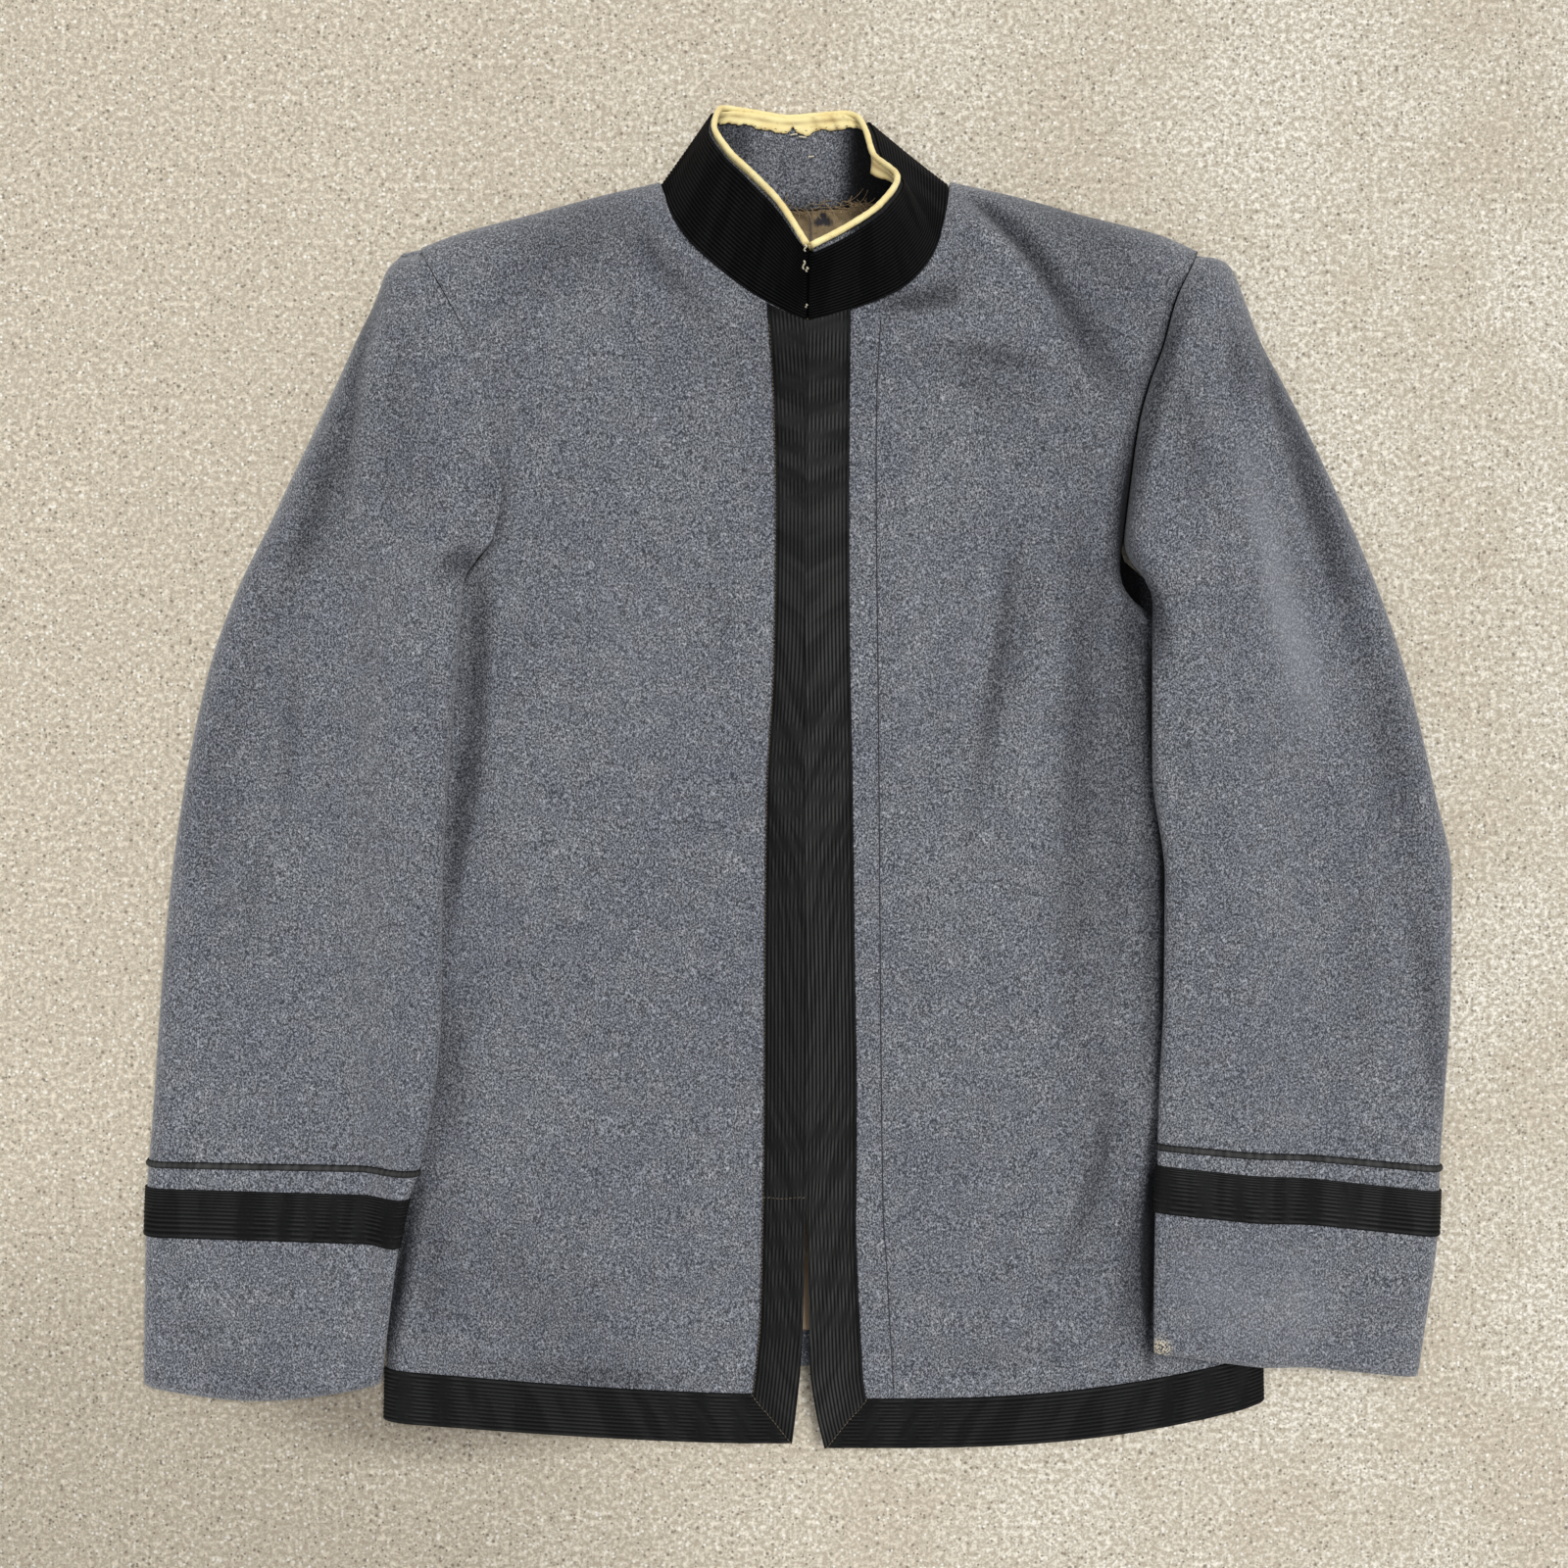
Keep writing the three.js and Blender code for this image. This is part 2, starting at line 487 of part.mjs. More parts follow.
function frontPoint(right, i, j) {
  const row = FRONT_ROWS[j];
  const arm = right ? ARMHOLE_R : ARMHOLE_L;
  const sign = right ? -1 : 1;
  const yo = right ? row.ro : row.lo;
  const xo = j < ARM_ROW ? sideX(yo, right ? 'right' : 'left') : column(arm, 'y', yo, 'x');
  const yi = right ? row.ri : row.li;
  let start = { x: 0, y: yi };
  const xe = column(EDGE, 'y', yi, right ? 'right' : 'left');
  const band = column(EDGE, 'y', yi, right ? 'bandR' : 'bandL');
  start.x = xe + sign * band;
  if (j >= NECK_ROW - 1) {
    const s = Math.max(0, j - NECK_ROW);
    const down = j < NECK_ROW ? 2.6 : 0;
    start = {
      x: NECK[s][right ? 'rx' : 'lx'],
      y: NECK[s][right ? 'ry' : 'ly'] - down,
    };
  }
  let x;
  let y;
  if (i < 3) {
    x = lerp(xe, start.x, i / 2);
    y = lerp(yi, start.y, i / 2);
    if (i === 1 && j >= NECK_ROW - 1) y -= 1;
  } else {
    const f = OUTER_STEPS[i - 3];
    x = lerp(start.x, xo, f);
    y = lerp(start.y, yo, f ** (right ? row.rb : row.lb));
  }
  let n = null;
  const outer = i === FRONT_COLUMNS - 1;
  const top = j === FRONT_ROWS.length - 1;
  if (outer && j < ARM_ROW) n = V(sign, 0, 0);
  if (outer && j === ARM_ROW) n = V(sign, 0, 0.6);
  if (outer && j > ARM_ROW) n = UP.clone();
  if (top) n = V(sign * 0.27, 0.96, 0);
  if (top && outer) n = V(sign * 0.3, 0.95, 0.2);
  if (i === 2 && j > NECK_ROW && !top) n = UP.clone();
  const edge = outer && j < ARM_ROW ? seamZ(x, y) + 0.25 : 0;
  const step = right ? 0 : 0.8 * (1 - smooth((Math.abs(x - 5) - 4) / 40));
  const raise = step * smooth((y + 270) / 60) * (1 - smooth((y - 200) / 40));
  const z = outer && j < ARM_ROW ? edge : frontZ(x, y) + raise + (top ? 0.4 : 0);
  return { p: V(x, y, z), n };
}

const onBraid = WOOL / 2 + GAP;
['right', 'left'].forEach((side) => {
  const right = side === 'right';
  const patch = makePatch(FRONT_COLUMNS, FRONT_ROWS.length,
    (i, j) => frontPoint(right, i, j), right, (i, j) => i > 1 || j < NECK_ROW);
  add(`front_${side}`, 'wool', wall(patch, everywhere, -WOOL / 2, WOOL / 2));
  const above = ({ i, j, lower }) => j > i || (j === i && !lower);
  const bandCells = (t) => t.i < 2 && t.j < NECK_ROW - 1 && above(t);
  add(`front_braid_${side}`, 'braid', wall(patch, bandCells, onBraid, onBraid + BRAID));
  const hemCells = (t) => t.j < 2 && !above(t);
  add(`hem_braid_${side}`, 'braid', wall(patch, hemCells, onBraid, onBraid + BRAID));
});

// ---- back, its hem braid, lining and hem facing ----
function backPoint(i, j) {
  const row = BACK_ROWS[j];
  const f = BACK_COLUMNS[i];
  const yr = row.r;
  const yl = row.l;
  const arm = BACK_ROWS.findIndex((r) => r.name === 'arm0');
  const xr = j < arm ? sideX(yr, 'right') : column(BACK_ARM, 'y', yr, 'right');
  const xl = j < arm ? sideX(yl, 'left') : column(BACK_ARM, 'y', yl, 'left');
  const x = lerp(xr, xl, f);
  const hump = Math.sin(Math.PI * f) ** 1.4;
  let y = lerp(yr, yl, f) + (row.c - lerp(yr, yl, 0.5)) * hump;
  const last = BACK_ROWS.length - 1;
  if (j >= last - 2) {
    const inNeck = x > -77 && x < 86;
    const mid = Math.abs(x - 4.5) / 81.5;
    const edge = inNeck ? lerp(324.9, 335.3, mid ** 1.7) : shoulderY(x);
    y = edge - [14, 3.4, 0][j - last + 2];
  }
  const hemY = lerp(-364, -353.5, f) + (-333 + 358.75) * hump;
  const first = i === 0;
  const end = i === BACK_COLUMNS.length - 1;
  let n = null;
  const sign = first ? -1 : 1;
  if ((first || end) && j < arm) n = V(-sign, 0, 0);
  if ((first || end) && j >= arm) n = UP.clone();
  const shoulder = j === last && (x < -76 || x > 85);
  if (shoulder) n = V(x < 0 ? 0.27 : -0.27, -0.96, 0);
  if (j === last && (first || end)) n = V(-sign * 0.3, -0.95, 0.2);
  let z = backZ(x, y, hemY);
  if ((first || end) && j < arm) z = seamZ(x, y) - 0.25;
  if (shoulder) z = SEAM_Z - 0.4;
  return { p: V(x, y, z), n };
}
const back = makePatch(BACK_COLUMNS.length, BACK_ROWS.length, backPoint, false);
add('back_panel', 'wool', wall(back, everywhere, -WOOL / 2, WOOL / 2));
add('hem_braid_back', 'braid', wall(back, (t) => t.j < 3, -onBraid - BRAID, -onBraid));
const inside = (t) => t.i > 3 && t.i < BACK_COLUMNS.length - 5;
const inNeckline = (t) => t.i > 5 && t.i < 10 && t.j < BACK_ROWS.length - 1;
const lined = (t) => t.j > 1 && (t.j < BACK_ROWS.length - 2 || inNeckline(t)) && inside(t);
add('back_hem_facing', 'facing', wall(back, (t) => t.j < 2 && inside(t), onBraid, onBraid + LINING));
add('back_lining', 'lining', wall(back, lined, onBraid, onBraid + LINING));

// ---- sleeves with their two cuff braids ----
const ACROSS_R = [0, 0.03, 0.1, 0.2, 0.36, 0.58, 0.8, 0.94, 0.985, 1];
const ACROSS_L = [0, 0.03, 0.12, 0.29, 0.42, 0.55, 0.76, 0.94, 0.985, 1];
const FACE = ACROSS_R.length - 1;
const BRAIDED = ['wide0', 'wide1', 'cord0', 'cord1'];

// Columns run over the top face from the inner to the outer edge, then back under it.
function sleevePoint(rows, right, k, j) {
  const row = rows[j];
  const fold = rows.findIndex((r) => r.name === 'fold');
  const across = right ? ACROSS_R : ACROSS_L;
  const upper = k <= FACE;
  const i = upper ? k : 2 * FACE - k;
  const s = across[i];
  const sign = right ? -1 : 1;
  const arm = right ? ARMHOLE_R : ARMHOLE_L;
  const yi = row.yi;
  let xi = row.xi;
  if (j > fold) {
    xi = upper ? column(arm, 'y', yi, 'x') + sign * 0.5
      : column(BACK_ARM, 'y', yi, right ? 'right' : 'left') + sign * 1.8;
  }
  const x = lerp(xi, row.xo, s);
  const y = lerp(yi, row.yo, s) - row.bow * Math.sin(Math.PI * s);
  const width = Math.hypot(row.xo - xi, row.yo - yi);
  const lifted = BRAIDED.includes(row.name) ? onBraid + BRAID + 0.05 : WOOL / 2;
  const ground = support(x, y, row.drape) + lifted;
  const outerZ = lerp(lifted + SLEEVE_EDGE, SEAM_Z, smooth((row.yo - 150) / 130));
  let zi = support(xi, yi, row.drape) + lifted + SLEEVE_EDGE;
  if (j > fold) zi = upper ? frontZ(xi, yi) : backZ(xi, yi, -400);
  const base = lerp(zi, outerZ, smooth(s));
  const roll = Math.min(SLEEVE_ROLL + Math.max(0, row.thick - 14), width * 0.6);
  const outer = quarter(((1 - s) * width) / roll);
  const inner = quarter((s * width) / (j > fold ? 9 : SLEEVE_ROLL));
  let z = base;
  if (upper) {
    const high = row.thick + (j > fold ? 8 * (1 - smooth(s)) : 0.7 * ground);
    z += (high - base) * inner * outer;
  } else {
    z += ((j > fold ? lifted : ground) - base) * outer * (j > fold ? 1 : inner);
  }
  let n = null;
  if (i === 0) n = V(-sign, 0, 0);
  if (i === 0 && j > fold) n = V(0, 0, upper ? 1 : -1);
  if (i === FACE) n = V(sign, 0, 0);
  if (j === rows.length - 1) n = V(sign * 0.3, 0.9, upper ? 0.3 : -0.3);
  return { p: V(x, y, z), n };
}

// The same patch with its last column made one with its first.
function closed(patch, columns) {
  const join = (k) => (k % columns === columns - 1 ? k - columns + 1 : k);
  const triangles = patch.triangles.map((t) => ({ ...t, v: t.v.map(join) }));
  return { ...patch, triangles };
}

['right', 'left'].forEach((side) => {
  const right = side === 'right';
  const rows = right ? SLEEVE_R : SLEEVE_L;
  const columns = 2 * FACE + 1;
  const tube = makePatch(columns, rows.length, (k, j) => sleevePoint(rows, right, k, j), right);
  const ring = closed(tube, columns);
  const between = (from, to) => (t) => (
    t.j >= rows.findIndex((r) => r.name === from) && t.j < rows.findIndex((r) => r.name === to));
  add(`sleeve_top_${side}`, 'wool', wall(tube, (t) => t.i < FACE, -WOOL / 2, WOOL / 2));
  add(`sleeve_under_${side}`, 'wool', wall(tube, (t) => t.i >= FACE, -WOOL / 2, WOOL / 2));
  add(`cuff_braid_${side}`, 'braid',
    wall(ring, between('wide0', 'wide1'), onBraid, onBraid + BRAID, 0));
  add(`cuff_cord_${side}`, 'braid',
    wall(ring, between('cord0', 'cord1'), onBraid, onBraid + BRAID, 0));
});

// ---- collar: wool stand, braid outside, piping on top, strip inside ----
const HEIGHTS = [0, 0.72, 0.965, 1];
const COLLAR_STATIONS = 2 * (COLLAR.length - 1) + 1;
const collarTable = COLLAR.map((row, k) => ({ k, ...row }));

function collarRing(k, key) {
  return V(...['x', 'y', 'z'].map((axis) => column(collarTable, 'k', k, key + axis)));
}
// A point of the collar: w 0 at its lower edge, 1 a distance short of the ridge.
function collarPoint(k, w, short) {
  const b = collarRing(k, 'b');
  const t = collarRing(k, 't');
  const up = t.clone().sub(b);
  const long = up.length();
  up.normalize();
  const along = collarRing(k + 0.2, 't').sub(collarRing(k - 0.2, 't')).normalize();
  const skew = Math.max(0.5, along.cross(up).length());
  const lift = column(collarTable, 'k', k, 'lift');
  return b.addScaledVector(up, lerp(lift, long - short / skew, w));
}
const collar = makePatch(COLLAR_STATIONS, HEIGHTS.length,
  (i, j) => ({ p: collarPoint(i / 2, HEIGHTS[j], PIPING_LIFT) }), true);
add('collar_stand', 'wool', wall(collar, everywhere, -WOOL / 2, WOOL / 2));
add('collar_braid', 'braid', wall(collar, (t) => t.j < 2, onBraid, onBraid + BRAID));
add('collar_band', 'piping', wall(collar, (t) => t.j > 0, -onBraid - STRIP - 0.1, -onBraid - 0.1));

const ridge = [];
for (let i = 0; i < COLLAR_STATIONS; i += 1) ridge.push(collarPoint(i / 2, 1, 0));
add('collar_piping', 'piping', bar(ridge, (k) => {
  const a = ridge[Math.max(0, k - 1)];
  const b = ridge[Math.min(ridge.length - 1, k + 1)];
  const along = b.clone().sub(a).normalize();
  const u = ridge[k].clone().sub(collarPoint(k / 2, 0.5, 0));
  u.addScaledVector(along, -u.dot(along)).normalize();
  return { u, w: along.clone().cross(u) };
}, PIPING_R, 6));

// ---- hook and eye behind the collar's front edges ----
const hookAt = collarPoint(0, 0.58, 0).setX(5.4);
const rise = collarPoint(0, 1, 0).sub(collarPoint(0, 0, 0)).setX(0).normalize();
const inwards = V(0, rise.z, -rise.y);
const spot = (x, up, deep) => hookAt.clone().add(V(x, 0, 0))
  .addScaledVector(rise, up).addScaledVector(inwards, deep);
function wire(name, path) {
  const points = path.map(([x, up, deep]) => spot(x, up, deep));
  add(name, 'metal', bar(points, (k) => {
    const a = points[Math.max(0, k - 1)];
    const b = points[Math.min(points.length - 1, k + 1)];
    const along = b.clone().sub(a).normalize();
    const other = Math.abs(along.dot(rise)) > 0.7 ? V(0.6, 0, 0).add(inwards) : rise;
    const u = other.clone().addScaledVector(along, -other.dot(along)).normalize();
    return { u, w: along.clone().cross(u) };
  }, WIRE_R, 6));
}
wire('collar_eye', [
  [6, 3, 6], [3.4, 2.6, 4.4], [1.6, 2.2, 3.4], [0.5, 1.8, 2.9], [0.1, 1, 2.9],
  [0.1, -1, 2.9], [0.5, -1.8, 2.9], [1.6, -2.2, 3.4], [3.4, -2.6, 4.4], [6, -3, 6],
]);
wire('collar_hook', [
  [-6, 0, 10.8], [-3.4, 0, 7.6], [-1.6, 0, 5.4], [0, 0, 4.3], [0.9, 0, 3.9],
  [1.2, 0, 3.1], [0.9, 0, 2.2], [0.1, 0, 1.7], [-0.7, 0, 2],
]);

export default jacket;
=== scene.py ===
import math
import bpy
import numpy as np
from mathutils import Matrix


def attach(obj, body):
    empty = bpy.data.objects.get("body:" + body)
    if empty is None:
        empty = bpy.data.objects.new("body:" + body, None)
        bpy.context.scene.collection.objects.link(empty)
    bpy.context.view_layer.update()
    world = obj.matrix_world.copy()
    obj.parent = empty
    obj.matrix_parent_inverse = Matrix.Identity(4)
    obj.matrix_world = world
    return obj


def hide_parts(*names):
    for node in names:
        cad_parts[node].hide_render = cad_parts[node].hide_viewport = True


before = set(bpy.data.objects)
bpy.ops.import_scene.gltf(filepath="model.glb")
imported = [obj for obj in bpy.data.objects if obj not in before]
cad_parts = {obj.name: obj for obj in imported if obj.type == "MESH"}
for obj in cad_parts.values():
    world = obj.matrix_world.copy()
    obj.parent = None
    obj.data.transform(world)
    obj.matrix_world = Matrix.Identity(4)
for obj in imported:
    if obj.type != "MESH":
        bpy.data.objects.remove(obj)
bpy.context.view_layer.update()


# ---- The surface it lies on, the light and the camera ----
# The jacket lies on its back on a pale, dry concrete floor and is looked at from straight above.
# The floor is only staging; the light is one broad soft source overhead and the room round it.
class Tree:
    """Nodes of a material or a group. Each input is another node's output or a plain value."""

    def __init__(self, tree):
        self.nodes, self.links = tree.nodes, tree.links

    def fill(self, node, inputs):
        for place, value in inputs.items():
            if isinstance(value, bpy.types.NodeSocket):
                self.links.new(value, node.inputs[place])
            else:
                node.inputs[place].default_value = value
        return node

    def node(self, kind, inputs=None, **settings):
        made = self.nodes.new(kind)
        for name, value in settings.items():
            setattr(made, name, value)
        return self.fill(made, inputs or {}).outputs

    def use(self, group, inputs):
        made = self.nodes.new("ShaderNodeGroup")
        made.node_tree = group
        return self.fill(made, inputs).outputs

    def noise(self, vector, scale, detail=2.0, roughness=0.5):
        inputs = dict(Vector=vector, Scale=scale, Detail=detail, Roughness=roughness)
        return self.node("ShaderNodeTexNoise", inputs)["Fac"]

    def waves(self, vector, scale, distortion, direction="X", detail_scale=1.0):
        inputs = {"Vector": vector, "Scale": scale, "Distortion": distortion, "Detail Scale": detail_scale}
        return self.node("ShaderNodeTexWave", inputs, bands_direction=direction)["Fac"]

    def placed(self, vector, scale=(1, 1, 1), turn=0, move=(0, 0, 0)):
        inputs = dict(Vector=vector, Scale=scale, Rotation=(0, 0, math.radians(turn)), Location=move)
        return self.node("ShaderNodeMapping", inputs)[0]

    def span(self, value, low, high, to_low=0.0, to_high=1.0):
        inputs = {"Value": value, "From Min": low, "From Max": high, "To Min": to_low, "To Max": to_high}
        return self.node("ShaderNodeMapRange", inputs, interpolation_type="SMOOTHSTEP")["Result"]

    def times(self, first, second):
        return self.node("ShaderNodeMath", {0: first, 1: second}, operation="MULTIPLY")[0]

    def blend(self, factor, first, second, how="MIX"):
        inputs = {0: factor, 6: first, 7: second}
        return self.node("ShaderNodeMix", inputs, data_type="RGBA", blend_type=how)[2]

    def coords(self, kind):
        return self.node("ShaderNodeTexCoord")[kind]

    def axis(self, vector, name):
        return self.node("ShaderNodeSeparateXYZ", {0: vector})[name]

    def mark(self, name):
        return self.node("ShaderNodeAttribute", attribute_name=name)["Fac"]

    def bump(self, height, depth, strength=1.0):
        return self.node("ShaderNodeBump", dict(Height=height, Distance=depth, Strength=strength))[0]


def new_material(name):
    """A new material, its nodes and its Principled shader."""
    material = bpy.data.materials.new(name)
    material.use_nodes = True
    return material, Tree(material.node_tree), material.node_tree.nodes["Principled BSDF"]


def srgb(*channels):
    linear = [c / 255 / 12.92 if c < 11 else ((c / 255 + 0.055) / 1.055) ** 2.4 for c in channels]
    return (*linear, 1.0)


def speckle(tree, vector, scale, reach, low, high):
    """Grains of uneven size: a Voronoi cell's own random value, kept only near the cell's middle."""
    cells = tree.node("ShaderNodeTexVoronoi", dict(Vector=vector, Scale=scale, Randomness=1))
    own_value = tree.node("ShaderNodeSeparateColor", {0: cells["Color"]})[0]
    return tree.times(tree.span(own_value, low, high), tree.span(cells["Distance"], reach, reach * 0.4))


def put(name, data):
    made = bpy.data.objects.new(name, data)
    bpy.context.scene.collection.objects.link(made)
    return made


concrete, tree, shader = new_material("pale concrete")
where = tree.coords("Object")
grit = tree.span(tree.noise(where, 340, 5, 0.82), 0.40, 0.60)
patch = tree.span(tree.noise(where, 9, 4, 0.6), 0.35, 0.65)
# The floor is painted lighter towards +X, as painted light falling unevenly across it.
tone = tree.blend(tree.span(tree.axis(where, "X"), -0.45, 0.45), srgb(238, 226, 204), srgb(255, 249, 234))
tone = tree.blend(patch, tone, srgb(232, 220, 199))
tone = tree.blend(grit, srgb(184, 171, 150), tone)
for scale, size, low, high, colour in (
        (300, 0.42, 0.80, 0.95, srgb(146, 134, 117)), (520, 0.44, 0.78, 0.92, srgb(128, 117, 102)),
        (420, 0.46, 0.74, 0.90, srgb(255, 250, 240)), (240, 0.34, 0.86, 0.95, srgb(252, 246, 234))):
    tone = tree.blend(speckle(tree, where, scale, size, low, high), tone, colour)
# Two soft darker patches at the lower left are painted shadow; the smaller lies along the jacket's hem as its
# cast shadow.
for x, y, wide, tall, dark in ((-0.37, -0.46, 0.38, 0.25, 0.78), (-0.2, -0.355, 0.13, 0.042, 0.6)):
    painted_shadow = tree.placed(where, (1 / wide, 1 / tall, 0), move=(-x / wide, -y / tall, 0))
    reach = tree.node("ShaderNodeVectorMath", {0: painted_shadow}, operation="LENGTH")["Value"]
    tone = tree.blend(tree.span(reach, 1.05, 0.45), tone, (dark, dark * 0.99, dark * 0.98, 1), "MULTIPLY")
tree.fill(shader, {"Base Color": tone, "Roughness": 0.9, "Normal": tree.bump(grit, 0.0005, 0.6)})

bpy.ops.mesh.primitive_plane_add(size=5, location=(0, 0, -0.0006))
floor = bpy.context.object
floor.name = "floor"
floor.data.materials.append(concrete)

bpy.context.scene.view_settings.view_transform = "Standard"
world = bpy.data.worlds.new("room")
bpy.context.scene.world = world
world.use_nodes = True
sky = dict(Color=(0.93, 0.96, 1.0, 1), Strength=0.40)
Tree(world.node_tree).fill(world.node_tree.nodes["Background"], sky)

# Two very large, far lamps, as a bank of windows and a pale ceiling: strength and spread in degrees.
for name, toward_it, power, softness in (
        ("window light", (0.7, 0.75, 2.0), 2.1, 26), ("ceiling light", (-0.9, -0.1, 2.2), 0.5, 60)):
    data = bpy.data.lights.new(name, "SUN")
    data.energy = power
    data.angle = math.radians(softness)
    lamp = put(name, data)
    lamp.location = toward_it
    lamp.rotation_euler = lamp.location.to_track_quat("Z", "Y").to_euler()

lens = bpy.data.cameras.new("camera")
lens.lens = lens.sensor_width = 36
lens.clip_start = 0.01
camera = put("camera", lens)
camera.location = (-0.0072, -0.0025, 0.896)
bpy.context.scene.camera = camera


# ---- Back panel ----
# One panel of heathered wool melton across the whole back, cut to the waist's curve at the hem.
# It lies flat on the floor; at the sides and shoulders it turns up to its seams with the fronts.
WOOL = 2.0        # cloth wall, mm, as every size in the tables below
BRAID = 1.2       # wall of the ribbed braid
GAP = 0.3         # free space between layers
LINING = 1.0
SEAM_Z = 11.0     # height of the shoulder seams
HEM_BRAID = 28.0
CENTRE = 5        # x of the line where the fronts meet
NECK_RIGHT, NECK_LEFT = -77, 86    # x where the collar's seam meets the shoulder seams
NECK_MIDDLE, NECK_HALF = 4.5, 81.5
NAPE, NECK_SIDE = 324.9, 335.3     # y of the back's neck seam at its middle and at its ends
ARM_FOOT = {"right": 76, "left": 40}    # y of the armholes' lower ends
SIGN = {"right": -1, "left": 1}
SIDE_TURN, SHOULDER_TURN = 18, 26    # how far from its seams the back begins to turn up


def table(names, *rows):
    return [dict(zip(names.split(), row)) for row in rows]


def strokes(*rows):
    """Paths through three points, each with a half width and a depth, or a height above 0, in mm."""
    return table("x0 y0 x1 y1 x2 y2 width depth", *rows)


# Height of the front cloth over the floor at five places across the jacket.
STATION = {"sideR": -190, "midR": -95, "centre": 5, "midL": 105, "sideL": 205}
CROWN = table(
    "y sideR midR centre midL sideL",
    (-380, 9.5, 10.5, 10.5, 10.5, 9.5), (-300, 11, 13, 12.5, 13, 11), (-200, 13.5, 16.5, 16, 16.5, 13.5),
    (-60, 17, 22, 23, 22, 17), (60, 21, 27, 28, 27, 22), (150, 28, 32, 33, 32, 28), (210, 31, 35, 42, 36, 31),
    (250, 32, 38, 57, 40, 32), (300, 32, 35, 54, 38, 32), (340, 30, 29, 42, 32, 30))
SIDE = table(
    "y right left",
    (-380, -233, 264), (-300, -231, 262), (-200, -226, 256), (-100, -220, 250), (0, -215, 243),
    (80, -211, 237))
SHOULDER = table(
    "x y",
    (-211, 298), (-190, 306), (-149, 316.9), (-105, 328.9), (-79, 335), (-77, 335.5), (4, 337), (86, 335.5),
    (88, 335), (116, 328.7), (159, 316.7), (204, 305.2), (225, 296))
BACK_ROWS = table(
    "r c l",
    (-364, -333, -353.5), (-350, -319, -339.5), (-344, -313, -333.5), (-336, -305, -325.5),
    (-318, -287, -308), (-266, -250, -260), (-150, -150, -150), (-30, -30, -40), (76, 60, 40), (106, 106, 92),
    (135, 150, 126), (191, 205, 192), (241, 250, 243), (264, 284, 264), (283, 308, 282), (293, 321.5, 291),
    (298, 324.9, 296))
BACK_ARM = table(
    "y right left",
    (40, -213, 240), (76, -211, 217), (92, -208, 212), (106, -201, 206), (120, -187, 192), (126, -180, 186),
    (135, -168, 184.7), (191, -162, 178), (241, -174, 192), (263, -184, 202), (283, -196, 214),
    (298, -211, 225))


def smooth(t):
    t = np.clip(t, 0, 1)
    return t * t * (3 - 2 * t)


def quarter(t):
    return np.sqrt(1 - (1 - np.clip(t, 0, 1)) ** 2)


def mixed(a, b, t):
    return a + (b - a) * t


def bell(distance, reach):
    """1 at no distance, falling softly to a third at the reach."""
    return np.exp(-(distance / reach) ** 2)


def even_slope(a, b):
    same = a * b > 0
    return np.where(same, 2 * a * b / np.where(same, a + b, 1), 0)


def hermite(x, xs, ys):
    """ys at places xs, as a curve through them that never overshoots; a y may be an array."""
    xs = np.asarray(xs, float)
    steps = np.diff(xs)
    slopes = [(ys[k + 1] - ys[k]) / steps[k] for k in range(len(steps))]
    inner = [even_slope(slopes[k - 1], slopes[k]) for k in range(1, len(steps))]
    tangents = [slopes[0], *inner, slopes[-1]]
    shape = np.broadcast(x, *ys).shape
    x = np.broadcast_to(np.clip(x, xs[0], xs[-1]), shape)
    pick = np.clip(np.searchsorted(xs, x, side="right") - 1, 0, len(steps) - 1)
    ys = np.array([np.broadcast_to(y, shape) for y in ys])
    tangents = np.array([np.broadcast_to(g, shape) for g in tangents])
    take = lambda values, k: np.take_along_axis(values, k[None], 0)[0]
    h = steps[pick]
    t = (x - xs[pick]) / h
    return (take(ys, pick) * (1 + 2 * t) * (1 - t) ** 2 + take(ys, pick + 1) * t * t * (3 - 2 * t)
            + h * take(tangents, pick) * t * (1 - t) ** 2 + h * take(tangents, pick + 1) * t * t * (t - 1))


def curve(rows, key, at, name):
    return hermite(at, [row[key] for row in rows], [row[name] for row in rows])


def crown(x, y):
    return hermite(x, list(STATION.values()), [curve(CROWN, "y", y, name) for name in STATION])


def seam_z(x, y):
    return 0.42 * crown(x, y) + 0.8


def from_shoulder(x, y):
    return np.maximum(0, curve(SHOULDER, "x", x, "y") - y) * 0.96


def from_side(x, y):
    return np.where(x < CENTRE, x - curve(SIDE, "y", y, "right"), curve(SIDE, "y", y, "left") - x)


def folds(x, y, rows):
    """Troughs (depth below 0) and ridges along three-point paths, soft across and fading at both ends."""
    z = np.zeros(np.broadcast(x, y).shape)
    for row in rows:
        t = np.linspace(0, 1, 41)
        shares = ((2 * t - 1) * (t - 1), 4 * t * (1 - t), t * (2 * t - 1))
        px, py = (sum(share * row[axis + str(k)] for k, share in enumerate(shares)) for axis in "xy")
        near = np.full(z.shape, 1e9)
        where = np.zeros(z.shape)
        for k in range(len(t)):
            d = (x - px[k]) ** 2 + (y - py[k]) ** 2
            closer = d < near
            near = np.where(closer, d, near)
            where = np.where(closer, t[k], where)
        ends = np.sin(np.pi * np.clip(where * 0.94 + 0.03, 0, 1)) ** 0.7
        z += row["depth"] * ends * np.exp(-near / row["width"] ** 2)
    return z


def unit(v):
    return v / np.maximum(np.linalg.norm(v, axis=-1, keepdims=True), 1e-9)


def normals_of(points, flip=False):
    return unit(np.cross(np.gradient(points, axis=1), np.gradient(points, axis=0))) * (-1 if flip else 1)


